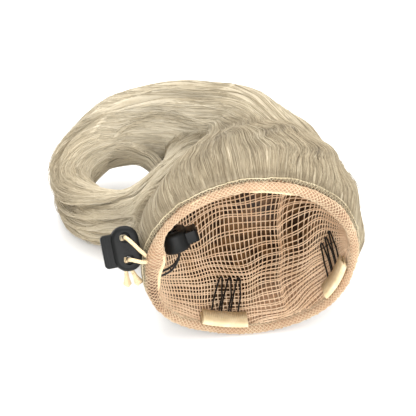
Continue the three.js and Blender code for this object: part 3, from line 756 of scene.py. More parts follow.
# a strand ends where it would turn sharply, and its points are spread again over what is left
def cutAtKinks(places, normals, shades):
    count = places.shape[1]
    ways = unit(np.diff(places, axis=1))
    kinked = (ways[:, 1:] * ways[:, :-1]).sum(axis=2) < strandShape["kink"]
    early = np.arange(len(places)) * 7 % 5  # uneven ends
    last = np.where(kinked.any(axis=1), np.maximum(kinked.argmax(axis=1) + 1 - early, 3), count - 1)
    spots = np.linspace(0, 1, count)[None, :] * last[:, None]
    low = np.minimum(spots.astype(int), count - 2)
    row, part = np.arange(len(places))[:, None], spots - low
    places, normals, shades = (
        between(values[row, low], values[row, low + 1], part) for values in (places, normals, shades))
    return places, unit(normals), shades


# walks all strands forward together
def combStrands(starts, steps, count, swirl, jitter, waviness, fromCrown, stray=None):
    places, normals = onSurface(starts)
    allPlaces, allNormals, allShades = [places], [normals], []
    for step in range(count):
        way, shade = combedWay(places, normals, swirl, jitter, waviness, fromCrown)
        allShades.append(shade)
        if step == count - 1:
            break
        if stray is not None:
            way = turned(way, normals, stray * (1 - step / count))
        places, normals = onSurface(places + way * steps[:, None])
        allPlaces.append(places)
        allNormals.append(normals)
    return cutAtKinks(*(np.stack(values, axis=1) for values in (allPlaces, allNormals, allShades)))


flowMarks = {
    "steps": 34, "stride": 3 * mm, "rim": -28 * mm,
    "crownAcross": 58, "crownAlong": 40, "curlAcross": 19, "curlAlong": 9,  # streaks by angle and by length
}


# streak coordinates under the strands: walk back to the rim, and read the angle it started from
def markFlow():
    mesh = underHairPiece.data
    index, share, angle, ratio = onRoll(underPoints)
    onCurl = 1 - smoothstep(1.12, 1.5, ratio)
    moving = np.flatnonzero(~underInside & (onCurl < 0.98))
    places, normals = underPoints[moving].copy(), underNormals[moving].copy()
    travelled, stride = np.zeros(len(moving)), flowMarks["stride"]
    for step in range(flowMarks["steps"]):
        live = np.flatnonzero(places[:, 1] > flowMarks["rim"])
        if not len(live):
            break
        still = np.zeros(len(live))
        way, shade = combedWay(places[live], normals[live], still, still, np.ones(len(live)), True)
        places[live], normals[live] = onSurface(places[live] - way * stride)
        travelled[live] += stride
    rim = np.arctan2(places[:, 2] - capHub[1], places[:, 0])
    for name, values in (("crownAcross", rim), ("crownAlong", travelled)):
        everywhere = np.zeros(len(underPoints))
        everywhere[moving] = values * flowMarks[name]
        setAttribute(mesh, name, everywhere)
    for name, values in (("curlAcross", angle - twistAt(share)), ("curlAlong", share)):
        setAttribute(mesh, name, values * flowMarks[name])
    setAttribute(mesh, "onCurl", evened(mesh, share, onCurl))
    # pale: the hair's own lighter tone, with painted light on the roll's shaded inner side
    setAttribute(mesh, "pale", evened(mesh, share, paleness(angle, share, onCurl)))


markFlow()
print("flow marked")


# closed three-sided strands, tapered at both ends and darker at the root
def strandMesh(name, places, normals, lifts, widths, tones, shades):
    count, points = places.shape[:2]
    share = np.linspace(0, 1, points)
    taper = np.minimum(1, np.minimum((share + 0.02) / 0.1, (1.02 - share) / 0.22))
    lifted = places + normals * (lifts[:, None] * np.sin(np.pi * np.clip(share, 0.03, 0.97)) ** 0.5)[..., None]
    ahead = unit(np.gradient(lifted, axis=1))
    side = unit(np.cross(ahead, normals))
    upward = np.cross(side, ahead)
    half = widths[:, None, None] * taper[None, :, None]
    tall = half * strandShape["thickness"] / strandShape["halfWidth"]
    rings = np.stack((lifted + side * half, lifted - side * half, lifted + upward * tall), axis=2)
    vertices = rings.reshape(-1, 3)
    vertices[:, 2] = np.maximum(vertices[:, 2], strandShape["floor"])
    base = (np.arange(count)[:, None, None] * points + np.arange(points - 1)[None, :, None]) * 3
    corner = np.arange(3)[None, None, :]
    beside = (corner + 1) % 3
    quads = np.stack((base + corner, base + beside, base + 3 + beside, base + 3 + corner), axis=-1).reshape(-1, 4)
    first = np.arange(count) * points * 3
    last = first + (points - 1) * 3
    caps = np.concatenate((np.stack((first + 2, first + 1, first), axis=1),
                           np.stack((last, last + 1, last + 2), axis=1)))
    loops = np.concatenate((quads.ravel(), caps.ravel()))
    starts = np.concatenate((np.arange(len(quads)) * 4, len(quads) * 4 + np.arange(len(caps)) * 3))
    mesh = bpy.data.meshes.new(name)
    for items, key, values in ((mesh.vertices, "co", vertices), (mesh.loops, "vertex_index", loops.astype(np.int32)),
                               (mesh.polygons, "loop_start", starts.astype(np.int32))):
        items.add(len(values))
        items.foreach_set(key, values.ravel())
    mesh.update(calc_edges=True)
    # shades: painted shade in the roll's creases, less the hair's lighter tone and the painted light on the roll's
    # inner side
    tone = tones[:, None] - 0.08 * (1 - np.minimum(1, share / 0.12))[None, :] - shades
    setAttribute(mesh, "tone", np.repeat(np.clip(tone, 0, 1), 3, axis=1).ravel())
    mesh.materials.append(finishes["strand"])
    return finishPiece(bpy.data.objects.new(name, mesh), "hair")


crownStrands = {
    "pieces": 2, "seed": 40, "locks": 210, "perLock": 7, "points": 20, "spread": 2.4 * mm, "least": 0.12, "tone": 0.54,
    "fromRim": 0.45, "fillet": 14, "filletBridge": 2, "filletReach": 5,
}
curlStrands = {
    "pieces": 2, "seed": 60, "locks": 205, "perLock": 8, "points": 16, "spread": 2.4 * mm, "least": 0.1, "tone": 0.54,
    "shares": (0.02, 0.9), "angles": (-0.4 * math.pi, 1.3 * math.pi),
}
innerStrands = {"count": 230, "points": 20}


# strands grow in locks: neighbours share a tone, and the middle of a lock stands highest
def lockStrands(name, settings, rng, lockOf, off, combed):
    places, normals, shades = combed
    locks, total = settings["locks"], len(lockOf)
    lifts = strandShape["lift"] * (settings["least"] + 0.7 * np.exp(-off ** 2) * rng.uniform(0.2, 1, locks)[lockOf])
    lifts = np.where(rng.uniform(size=total) < strandShape["strays"], strandShape["strayLift"], lifts)
    widths = strandShape["halfWidth"] * rng.uniform(0.7, 1.3, total)
    lockTone = rng.normal(settings["tone"], 0.035, locks)[lockOf]
    tones = np.clip(lockTone + rng.normal(0, 0.1, total), 0.02, 1)
    return strandMesh(name, places, normals, lifts, widths, tones, shades)


# seeds: part of them along the rim, the rest over the crown's outside and in one corner of the tail
def crownSeeds(rng):
    settings = crownStrands
    rims, fillet = int(settings["locks"] * settings["fromRim"]), settings["fillet"]
    angles = (np.arange(rims) + rng.uniform(0, 1, rims)) * (2 * math.pi / rims)
    rim = capPoint(angles, np.full(rims, 0.004), np.full(rims, -6 * mm))
    rim[:, 1] = -28.2 * mm
    shown = ~underInside & (underPoints[:, 2] > 6 * mm)
    outer = np.flatnonzero(shown & (onRoll(underPoints)[3] > 1.3) & (underPoints[:, 1] > -24 * mm))
    bridge = underHair["bridges"][settings["filletBridge"]]
    corner = np.flatnonzero(shown & inBridge(underPoints, bridge, settings["filletReach"]))
    picks = np.concatenate((rng.choice(outer, settings["locks"] - rims - fillet, replace=False),
                            rng.choice(corner, fillet, replace=False)))
    return np.concatenate((rim, underPoints[picks]))


def growCrown(number):
    settings = crownStrands
    rng = np.random.default_rng(settings["seed"] + number)
    locks = settings["locks"]
    lockOf = np.repeat(np.arange(locks), settings["perLock"])
    total = len(lockOf)
    seeds, seedNormals = onSurface(crownSeeds(rng))
    quiet = np.zeros(locks)
    way, shade = combedWay(seeds, seedNormals, quiet, quiet, np.ones(locks), True)
    beside = np.cross(way, seedNormals)
    off = np.clip(rng.normal(0, 1, total), -2, 2)
    starts = (seeds[lockOf] + beside[lockOf] * (off * settings["spread"])[:, None]
              + way[lockOf] * (rng.normal(0, 2.5 * mm, total) * (seeds[lockOf, 1] > -27 * mm))[:, None])
    jitter = 0.16 * rng.normal(size=locks)[lockOf] + 0.06 * rng.normal(size=total)
    waviness = rng.uniform(0.7, 1.15, locks)[lockOf]
    steps = rng.uniform(2.5, 4.1, total) * mm
    swirl = rng.normal(0.0, 0.05, total)
    stray = 0.06 * rng.normal(size=locks)[lockOf] + 0.03 * rng.normal(size=total)
    combed = combStrands(starts, steps, settings["points"], swirl, jitter, waviness, True, stray)
    combed[0][starts[:, 1] < -26 * mm, 0, 1] -= 2.2 * mm  # tucked under the casing
    return lockStrands(f"crownStrands{number}", settings, rng, lockOf, off, combed)


# points of a lock's outside at an angle, with its frames
def lockOutside(row, angle, reach=1.0):
    return (row["centre"] + row["side"] * (reach * row["thick"] * np.cos(angle))[..., None]
            + row["rise"] * (reach * row["height"] * np.sin(angle))[..., None])


def growCurl(number):
    settings = curlStrands
    rng = np.random.default_rng(settings["seed"] + number)
    locks = settings["locks"]
    lockOf = np.repeat(np.arange(locks), settings["perLock"])
    total, last = len(lockOf), len(curlFrames["centre"]) - 1
    lockShare = rng.uniform(*settings["shares"], locks)
    lockAngle = rng.uniform(*settings["angles"], locks)
    index = np.clip(((lockShare[lockOf] + rng.normal(0, 0.012, total)) * last).astype(int), 0, last - 1)
    row = {key: values[index] for key, values in curlFrames.items()}
    off = np.clip(rng.normal(0, 1, total), -2, 2)
    angle = lockAngle[lockOf] + off * settings["spread"] / np.sqrt(row["thick"] * row["height"])
    steps = rng.uniform(4.2, 7.2, total) * mm
    swirl = (0.03 + 0.04 * rng.normal(size=locks))[lockOf] + rng.normal(0, 0.012, total)
    quiet = np.zeros(total)
    combed = combStrands(lockOutside(row, angle), steps, settings["points"], swirl, quiet, quiet, False)
    return lockStrands(f"curlStrands{number}", settings, rng, lockOf, off, combed)


# thin locks inside the roll, strand by strand along their own middles
def growInner(name, frames, seed):
    rng = np.random.default_rng(seed)
    total, points = innerStrands["count"], innerStrands["points"]
    last = len(frames["centre"]) - 1
    shares = np.linspace(-0.02, 1, points)[None, :] + rng.normal(0, 0.015, (total, 1))
    index = np.clip(shares * last, 0, last - 0.001)
    low = index.astype(int)
    row = {key: between(values[low], values[low + 1], index - low) for key, values in frames.items()}
    angle = rng.uniform(0, 2 * math.pi, (total, 1)) + 1.4 * shares
    reach = 1.0 + 0.16 * rng.uniform(-1, 1, (total, 1))
    normals = row["side"] * np.cos(angle)[..., None] + row["rise"] * np.sin(angle)[..., None]
    places = lockOutside(row, angle, reach)
    places += row["ahead"] * (np.linspace(0, 0.4 * mm, points)[None, :, None])
    tones = np.clip(rng.normal(0.66, 0.1, total), 0, 1)
    widths = strandShape["halfWidth"] * rng.uniform(0.7, 1.2, total)
    lifts = strandShape["lift"] * rng.uniform(0.0, 0.6, total)
    return strandMesh(name, places, normals, lifts, widths, tones, np.zeros((total, points)))


for number in range(crownStrands["pieces"]):
    growCrown(number)
for number in range(curlStrands["pieces"]):
    growCurl(number)
growInner("innerStrands", innerFrames, 81)
growInner("eyeStrands", eyeFrames, 82)
print("strands combed")


# net cap: square net, gathered at both sides of the mouth and along one line
capNet = {
    "columns": 84, "rows": 112, "acrossDegrees": 89, "aroundDegrees": 122, "heart": (0, -30.5, 57),
    "gatherAt": 22, "gatherWidth": 8, "gatherPull": 0.72, "slant": 0.5, "slantBefore": 0.12,
    "bands": 0.64, "bandDegrees": 6.5,     # rows open and close
    "acrossRipple": (1.1, 40.0, 11), "aroundRipple": (1.6, 34.0, 12),  # degrees, size, seed
    "lift": 0.6 * mm, "ridgeLift": 0.9 * mm, "liftRipple": (0.25 * mm, 17.0, 13),
    "thread": 0.98 * mm, "mouth": -31.6 * mm,
    "grid": (96, 0.995, 60), "front": 30 * mm,  # surface it is laid on: columns, deepest share, rows
}


def capTree():
    points = capColumns(*capNet["grid"], 0.0)
    front = points[:, :1].copy()
    front[..., 1] -= capNet["front"]
    points = np.concatenate((front, points), axis=1)
    around, rows = points.shape[:2]
    faces = []
    for column in range(around):
        here, beside = column * rows, (column + 1) % around * rows
        faces += [(here + row, beside + row, beside + row + 1, here + row + 1) for row in range(rows - 1)]
        faces.append((here + rows - 1, beside + rows - 1, rows - 1))
    return BVHTree.FromPolygons([tuple(point) for point in points.reshape(-1, 3)], faces)


capSurface = capTree()


def makeNet():
    settings = capNet
    shape = bmesh.new()
    bmesh.ops.create_grid(shape, x_segments=settings["columns"], y_segments=settings["rows"], size=1)
    heart = Vector(settings["heart"]) * mm

    def rippled(spot, size, length, seed):
        return size * float(ripple(spot, length, seed))
    for vertex in shape.verts:
        across = vertex.co.x * settings["acrossDegrees"]
        around = vertex.co.y * settings["aroundDegrees"]
        around += settings["bands"] * math.sin(2 * math.pi * around / settings["bandDegrees"])
        away = across - settings["gatherAt"]
        ridge = math.exp(-(away / settings["gatherWidth"]) ** 2)
        across -= settings["gatherPull"] * away * ridge
        around += settings["slant"] * max(0.0, away) - settings["slantBefore"] * max(0.0, -away)
        spot = np.array((across, around))
        turn = math.radians(around + rippled(spot, *settings["aroundRipple"]))
        lean = math.radians(across + rippled(spot, *settings["acrossRipple"]))
        way = Vector((math.sin(lean), math.cos(lean) * math.cos(turn), math.cos(lean) * math.sin(turn)))
        place, normal = capSurface.ray_cast(heart, way)[:2]
        if place is None:
            place, normal = heart + way * 60 * mm, -way
        if normal.dot(way) > 0:
            normal = -normal
        lift = settings["lift"] + settings["ridgeLift"] * ridge + rippled(spot, *settings["liftRipple"])
        vertex.co = place + normal * lift
    everything = shape.verts[:] + shape.edges[:] + shape.faces[:]
    bmesh.ops.bisect_plane(shape, geom=everything, plane_co=(0, settings["mouth"], 0), plane_no=(0, -1, 0),
                           clear_outer=True)
    area = sum(face.calc_area() for face in shape.faces)
    piece = threadPiece("capNet", shape, "netThread", settings["thread"], use_boundary=True)
    return finishPiece(piece, "net", "net_cap"), area


capNetPiece, netArea = makeNet()
print("net", len(capNetPiece.data.polygons), "faces, area", round(netArea, 5))


# casing round the mouth, in millimetres
casing = {
    "middle": (0, -33.3, 56), "halfWidth": 57, "halfHeight": 53, "halfThick": 2.1, "halfDepth": 2.9,
    "changes": [  # angle, spread in radians, how much thicker, how far pulled in
        (171, 0.2, 2.6, 2.2),   # corner that the drawstring leaves by
        (190, 0.3, 1.5, 1.5),   # tab
        (42, 0.4, 0.8, 0), (122, 0.8, -0.8, 0),  # upper right and top
    ],
    # where the knit is open, the shaded hair behind it is painted in dark
    "open": [(198, 0.3, 0.9), (38, 0.34, 0.5)], "openLeast": 0.1,  # angle, spread, share of the gaps that show
    "lump": 0.3, "floor": 0.3, "alongThreads": 300, "acrossThreads": 18,
    "steps": 260, "sides": 20, "threadSteps": 150, "threadSides": 7, "thread": 0.6 * mm, "threadProud": 0.22,
}
stitches = {"count": 170, "radius": 0.28 * mm, "reach": 1.5, "proud": 0.9 * mm, "floor": 0.4 * mm}


def bellAt(angle, degrees, spread):
    away = angle - math.radians(degrees)
    return math.exp(-(math.atan2(math.sin(away), math.cos(away)) / spread) ** 2)


def casingRing(angle):
    outward = Vector((math.cos(angle) / casing["halfWidth"], 0, math.sin(angle) / casing["halfHeight"])).normalized()
    middle = Vector(casing["middle"]) + Vector((
        casing["halfWidth"] * math.cos(angle), 0, casing["halfHeight"] * math.sin(angle)))
    thick, inward = casing["halfThick"], 0
    for at, spread, thicker, pulledIn in casing["changes"]:
        share = bellAt(angle, at, spread)
        thick += thicker * share
        inward += pulledIn * share
    middle -= outward * inward
    middle = Vector(warpMouth(np.array(middle) * mm) / mm)
    thick += casing["lump"] * (math.sin(11 * angle + 1) + math.sin(23 * angle + 2 * math.sin(5 * angle))) / 2
    return middle, outward, thick, casing["halfDepth"]


def casingPoint(angle, turn, proud):
    middle, outward, thick, depth = casingRing(angle)
    pleat = 0.2 * math.sin(angle * 73 + 2 * math.sin(angle * 9)) + 0.12 * math.sin(angle * 131 + turn)
    place = middle + outward * ((thick + proud + pleat) * math.cos(turn))
    place += Vector((0, (depth + proud + pleat) * math.sin(turn), 0))
    place.z = max(place.z, casing["floor"])
    return place * mm


def layersOf(shape, *names):
    for name in names:
        shape.verts.layers.float.new(name)
    return [shape.verts.layers.float[name] for name in names]


def ringGrid(steps, sides, proud, crossed=False):
    shape = bmesh.new()
    bmesh.ops.create_grid(shape, x_segments=steps, y_segments=sides, size=1)
    across, along, opened = layersOf(shape, "across", "along", "opened")
    if crossed:  # squares turned into diamonds
        straight = shape.edges[:]
        bmesh.ops.poke(shape, faces=shape.faces)
        bmesh.ops.dissolve_edges(shape, edges=[edge for edge in straight if len(edge.link_faces) == 2])
    for vertex in shape.verts:
        around, turn = vertex.co.x * math.pi, vertex.co.y * math.pi
        vertex[along] = (vertex.co.x + 1) * 0.5 * casing["alongThreads"]
        vertex[across] = (vertex.co.y + 1) * 0.5 * casing["acrossThreads"]
        vertex[opened] = casing["openLeast"] + sum(
            most * bellAt(around, at, spread) for at, spread, most in casing["open"])
        vertex.co = casingPoint(around, turn, proud)
    bmesh.ops.remove_doubles(shape, verts=shape.verts, dist=1e-5)
    bmesh.ops.recalc_face_normals(shape, faces=shape.faces)
    return shape


def makeCasing():
    band = pieceFromBmesh("casingBand", ringGrid(casing["steps"], casing["sides"], 0.0), "band")
    finishPiece(band, "casing", "rim_casing")
    diamonds = ringGrid(casing["threadSteps"], casing["threadSides"], casing["threadProud"], crossed=True)
    finishPiece(threadPiece("casingNet", diamonds, "hemThread", casing["thread"]), "casing")
    return band


casingBand = makeCasing()
print("casing made")


# tubes along points
def curveAlong(name, points, radius, finish, cyclic=False, resolution=3):
    data = bpy.data.curves.new(name, "CURVE")
    data.dimensions = "3D"
    data.bevel_depth = radius
    data.bevel_resolution = resolution
    data.use_fill_caps = True
    spline = data.splines.new("POLY")
    spline.points.add(len(points) - 1)
    for spot, point in zip(spline.points, points):
        spot.co = (*point, 1)
    spline.use_cyclic_u = cyclic
    data.materials.append(finishes[finish])
    return bpy.data.objects.new(name, data)


def tubePiece(name, *shape, **settings):
    return bakedPiece(curveAlong(name + "Line", *shape, **settings), name)


# cream zigzag that sews the casing to the hair, and the thread along its edge
def makeStitches():
    zigzag, edge = [], []
    for step in range(stitches["count"] * 2):
        middle, outward, thick, depth = casingRing(step * math.pi / stitches["count"])
        low = (middle + outward * (thick * 0.75 + 0.3) + Vector((0, depth * 0.66 + 0.3, 0))) * mm
        high = (middle + outward * (thick + stitches["reach"]) + Vector((0, depth + 1.6, 0))) * mm
        place, normal = underTree.find_nearest(high)[:2]
        high = place + normal * stitches["proud"]
        low.z, high.z = (max(end.z, stitches["floor"]) for end in (low, high))
        zigzag.append(high if step % 2 else low)
        edge.append(high)
    for name, points in (("rimStitches", zigzag), ("rimEdgeThread", edge)):
        finishPiece(tubePiece(name, points, stitches["radius"], "stitch", cyclic=True, resolution=1), "cord")


makeStitches()


# drawstring in the casing: it shows at the corner and along the top
drawstring = {
    "radius": 1.1, "steps": 240, "shows": [(80, 16), (184, 13)],  # angle and half width in degrees
    "sunk": 1.5, "proud": 0.5, "turn": math.radians(205),
}


def drawstringRun():
    points, turn = [], drawstring["turn"]
    for step in range(drawstring["steps"]):
        angle = step * 2 * math.pi / drawstring["steps"]
        middle, outward, thick, depth = casingRing(angle)
        shown = max(math.exp(-(degreesFrom(math.degrees(angle), at) / width) ** 4) for at, width in drawstring["shows"])
        out = 1 + (shown * (drawstring["proud"] + drawstring["sunk"]) - drawstring["sunk"]) / thick
        place = middle + outward * (thick * out * math.cos(turn))
        points.append((place + Vector((0, depth * out * math.sin(turn), 0))) * mm)
    run = tubePiece("drawstringRun", points, drawstring["radius"] * mm, "cord", cyclic=True)
    return finishPiece(run, "cord", "drawstring_run")


drawstringRun()


# free cords: the part's own routes
upperRoute = [
    (-60.1, -33.2, 65.2), (-60.8, -34.8, 67.8), (-63.4, -35.4, 71.6), (-66.7, -34.0, 75.3),
    (-69.5, -31.9, 77.2), (-70.6, -29.4, 76.2), (-70.7, -26.3, 73.6), (-70.7, -19.1, 67.5),
    (-70.6, -16.0, 63.6), (-70.4, -15.8, 56.0), (-70.0, -17.2, 48.0), (-69.6, -18.6, 39.5),
]
lowerRoute = [
    (-60.1, -34.8, 62.4), (-60.4, -37.4, 64.0), (-62.9, -39.4, 66.2), (-65.9, -39.8, 67.8),
    (-68.3, -38.8, 67.9), (-69.3, -36.2, 65.8), (-69.3, -32.0, 62.3), (-69.3, -27.0, 58.1),
    (-69.0, -24.8, 54.2), (-68.0, -24.6, 50.0), (-66.4, -25.6, 46.6),
]
innerFrontRoute = [
    (-51.6, -27.4, 43.4), (-46.5, -26.0, 44.6), (-43.1, -25.0, 47.4), (-40.5, -23.2, 51.6),
    (-40.0, -21.6, 54.8), (-41.8, -18.3, 60.1), (-43.5, -15.1, 65.5), (-44.5, -13.2, 69.6),
]
innerBackRoute = [
    (-52.2, -25.0, 44.0), (-46.1, -21.4, 43.4), (-42.1, -17.4, 43.2), (-39.3, -13.6, 45.0),
    (-39.5, -10.9, 48.5), (-41.2, -7.7, 53.9), (-43.0, -4.4, 59.2), (-44.1, -2.2, 63.4),
]
cords = {
    "points": 60,
    "drawstring": {"Upper": upperRoute, "Lower": lowerRoute}, "drawstringRadius": 1.1,
    "inner": {"Front": innerFrontRoute, "Back": innerBackRoute}, "innerRadius": 0.6,
}
cordEnd = {
    "profile": [(0, 1.2), (1.6, 1.25), (3.5, 1.6), (5.6, 2.2), (6.8, 2.3), (7.5, 1.7)],  # along, radius
    "length": 7.5, "sides": 20, "gap": 0.3, "flutes": 6, "fluteDepth": 0.12, "ragged": 0.5,
}


def makeCordEnd(name, route, node):
    before, last = Vector(route[-2]), Vector(route[-1])
    ahead = (last - before).normalized()
    shape = bmesh.new()
    spots = [shape.verts.new((radius, 0, along)) for along, radius in cordEnd["profile"]]
    edges = [shape.edges.new(pair) for pair in zip(spots, spots[1:])]
    bmesh.ops.spin(shape, geom=spots + edges, cent=(0, 0, 0), axis=(0, 0, 1), angle=2 * math.pi,
                   steps=cordEnd["sides"], use_merge=True, use_duplicate=False)
    bmesh.ops.remove_doubles(shape, verts=shape.verts, dist=1e-4)
    bmesh.ops.holes_fill(shape, edges=shape.edges, sides=0)
    bmesh.ops.recalc_face_normals(shape, faces=shape.faces)
    for vertex in shape.verts:
        share = vertex.co.z / cordEnd["length"]
        turn = math.atan2(vertex.co.y, vertex.co.x)
        flute = 1 + cordEnd["fluteDepth"] * share * math.cos(cordEnd["flutes"] * turn + 1.5 * share)
        vertex.co.x *= flute
        vertex.co.y *= flute
        vertex.co.z += cordEnd["ragged"] * share * math.cos(3 * turn)
    lean = Vector((0, 0, 1)).rotation_difference(ahead).to_matrix().to_4x4()
    place = Matrix.Scale(mm, 4) @ Matrix.Translation(last + ahead * cordEnd["gap"]) @ lean
    bmesh.ops.transform(shape, matrix=place, verts=shape.verts)
    return finishPiece(pieceFromBmesh(name, shape, "cord"), "cord", node)


def makeCord(name, route, radius, finish, slot, node):
    points = tableAt(np.array(route) * mm, np.linspace(0, 1, cords["points"]))
    cord = finishPiece(curveAlong(name, points, radius * mm, finish), slot, node)


cordEnds = {label: makeCordEnd(f"drawstringEnd{label}", route, f"drawstring_end_{label.lower()}")
            for label, route in cords["drawstring"].items()}
for label, route in cords["drawstring"].items():
    makeCord(f"drawstring{label}", route, cords["drawstringRadius"], "cord", "cord",
             f"drawstring_{label.lower()}")
for label, route in cords["inner"].items():
    makeCord(f"innerCord{label}", route, cords["innerRadius"], "blackCord", "black_cord",
             f"inner_cord_{label.lower()}")
print("cords laid")


# two-hole cord locks: x is the press axis, y the long axis, z through the holes
lockShape = {
    "body": {"left": -8, "right": 7.5, "halfLength": 12.6, "halfThick": 5.8,
             "corner": 7.3, "edge": 2.4, "segments": 5},
    "plunger": {"left": -13.5, "right": 3, "halfLength": 9.3, "halfThick": 3.6,
                "corner": 2.2, "edge": 0.7, "segments": 3},
    "holeOffset": 6.2, "holeRadius": 3.0, "lip": 3.8, "lipProud": 0.35, "endWall": 1.2, "pocketRoom": 0.3,
    "travel": 3, "slotRadius": 1.8, "slotStretch": 1.8, "sharpFrom": math.radians(32),
    "rays": 6, "rayReach": 1.5, "raySize": (1.7, 0.7, 0.7),   # raised star between the holes
    "grips": [-10.0, -11.6], "gripWidth": 0.7, "gripDepth": 0.9,
}
outerLock = {"at": (-70, -28, 67), "press": (0.99, 0.077, 0.092), "long": (-0.12, 0.637, 0.758)}
innerLock = {"at": (-41.5, -13, 57), "press": (-0.96, -0.1, -0.25), "long": (-0.05, -0.86, 0.5)}


def lockPlace(lock):
    press = Vector(lock["press"]).normalized()
    through = press.cross(Vector(lock["long"])).normalized()
    long = through.cross(press)
    basis = Matrix((press, long, through)).transposed().to_4x4()
    return Matrix.Scale(mm, 4) @ Matrix.Translation(Vector(lock["at"])) @ basis


def roundedPlate(left, right, halfLength, halfThick, corner, edge, segments):
    def bevel(edges, offset, steps):
        bmesh.ops.bevel(shape, geom=edges, offset=offset, affect="EDGES", segments=steps, profile=0.5, material=-1)

    def rise(side):
        return abs(side.verts[0].co.z - side.verts[1].co.z)
    shape = bmesh.new()
    bmesh.ops.create_cube(shape, size=1)
    for vertex in shape.verts:
        vertex.co = Vector(((left + right) / 2 + vertex.co.x * (right - left), vertex.co.y * 2 * halfLength,
                            vertex.co.z * 2 * halfThick))
    bevel([side for side in shape.edges if rise(side) > halfThick], corner, 10)
    bevel([side for side in shape.edges if rise(side) < 1e-5
           and abs(abs(side.verts[0].co.z) - halfThick) < 1e-5 and len(side.link_faces) == 2
           and abs(side.link_faces[0].normal.z - side.link_faces[1].normal.z) > 0.5], edge, segments)
    return shape


def cutWith(shape, cutters, name):
    target = pieceFromBmesh(name + "Whole", shape, "plastic")
    made = bmesh.new()
    made.from_mesh(cutBy(target, pieceFromBmesh(name + "Cutter", cutters, "plastic"), solver="EXACT", use_self=True))
    return made


def addCylinder(shape, place, radius, depth, stretch=1.0, sides=32):
    made = bmesh.ops.create_cone(shape, cap_ends=True, segments=sides, radius1=radius, radius2=radius, depth=depth)
    for vertex in made["verts"]:
        vertex.co.x *= stretch
        vertex.co += Vector(place)


def addBox(shape, place, size, turn=0.0):
    matrix = Matrix.Translation(place) @ Matrix.Rotation(turn, 4, "Z") @ Matrix.Diagonal((*size, 1))
    bmesh.ops.create_cube(shape, size=1, matrix=matrix)


def lockBody(name):
    size, outer, inner = lockShape, lockShape["body"], lockShape["plunger"]
    shape, cutters = roundedPlate(**outer), bmesh.new()
    for side in (-1, 1):
        hole = (0, side * size["holeOffset"], 0)
        addCylinder(shape, hole, size["lip"], 2 * (outer["halfThick"] + size["lipProud"]))
        addCylinder(cutters, hole, size["holeRadius"], 30)
    left, right, room = inner["left"], outer["right"] - size["endWall"], size["pocketRoom"]
    addBox(cutters, ((left + right) / 2, 0, 0),
           (right - left, 2 * (inner["halfLength"] + room), 2 * (inner["halfThick"] + room)))
    shape = cutWith(shape, cutters, name)
    for face in (-1, 1):
        for ray in range(size["rays"]):
            turn = ray * math.pi / 3 + math.pi / 6
            along, across = size["rayReach"] * math.cos(turn), size["rayReach"] * math.sin(turn)
            addBox(shape, (along, across, face * outer["halfThick"]), size["raySize"], turn)
    return shape


def lockPlunger(name):
    size, inner = lockShape, lockShape["plunger"]
    slots = bmesh.new()
    for side in (-1, 1):
        slot = (-size["travel"] / 2, side * size["holeOffset"], 0)
        addCylinder(slots, slot, size["slotRadius"], 20, size["slotStretch"])
    for along in size["grips"]:
        for face in (-1, 1):
            addBox(slots, (along, 0, face * inner["halfThick"]),
                   (size["gripWidth"], 2 * inner["halfLength"] + 2, size["gripDepth"]))
    return cutWith(roundedPlate(**inner), slots, name)


def makeLock(name, lock, nodes, plungerBody):
    for label, build, node, body in (("Body", lockBody, f"{nodes}_body", "hairpiece"),
                                     ("Plunger", lockPlunger, f"{nodes}_plunger", plungerBody)):
        shape = build(name + label)
        bmesh.ops.transform(shape, matrix=lockPlace(lock), verts=shape.verts)
        piece = finishPiece(pieceFromBmesh(name + label, shape, "plastic"), "lock", node, body=body)
        piece.data.set_sharp_from_angle(angle=lockShape["sharpFrom"])


makeLock("lock", outerLock, "lock", "lock_button")
makeLock("innerLock", innerLock, "inner_lock", "inner_lock_button")
print("locks made")


# wire combs and the tapes folded over their feet
comb = {
    "teeth": 3, "pitch": 5.9, "wire": 0.5, "foot": -0.4, "turn": -1.2, "tip": 30, "shoulder": 16,
    "outline": [(0, 2.3), (8, 2.3), (16, 2.33), (21, 1.75), (26, 1.3), (29, 0.95)],  # along, across
}
tape = {
    "halfLength": 14.0, "front": -7.6, "back": 2.4, "under": 1.2, "wall": 0.8, "slot": 1.4, "slotFront": -2.8,
    "fold": 1.4, "slotFold": 0.7, "across": 40, "fray": 0.12, "acrossThreads": 1.6, "alongThreads": 1.2,
    "netWall": 1.2,
}
tape["top"] = tape["under"] + 2 * tape["wall"] + tape["slot"]
combPlaces = {
    "Front": {"angle": 253, "slant": 0.25, "slantAbove": 0.11},
    "Side": {"angle": -25, "slant": 0, "slantAbove": 0},
}


def wallPoints(angle, across, depth, lift):
    shares = np.linspace(0, 1, 400)
    mouthY, halfWidth = capSections[0][0], capSections[0][3]
    share = np.interp(np.maximum(depth, 0), tableAt(capSections, shares)[:, 0] - mouthY, shares)
    angles = math.radians(angle) + np.asarray(across) / halfWidth
    points = capPoint(angles, share, (tape["netWall"] + np.asarray(lift)) * mm)
    points[..., 1] += np.minimum(depth, 0) * mm
    return points


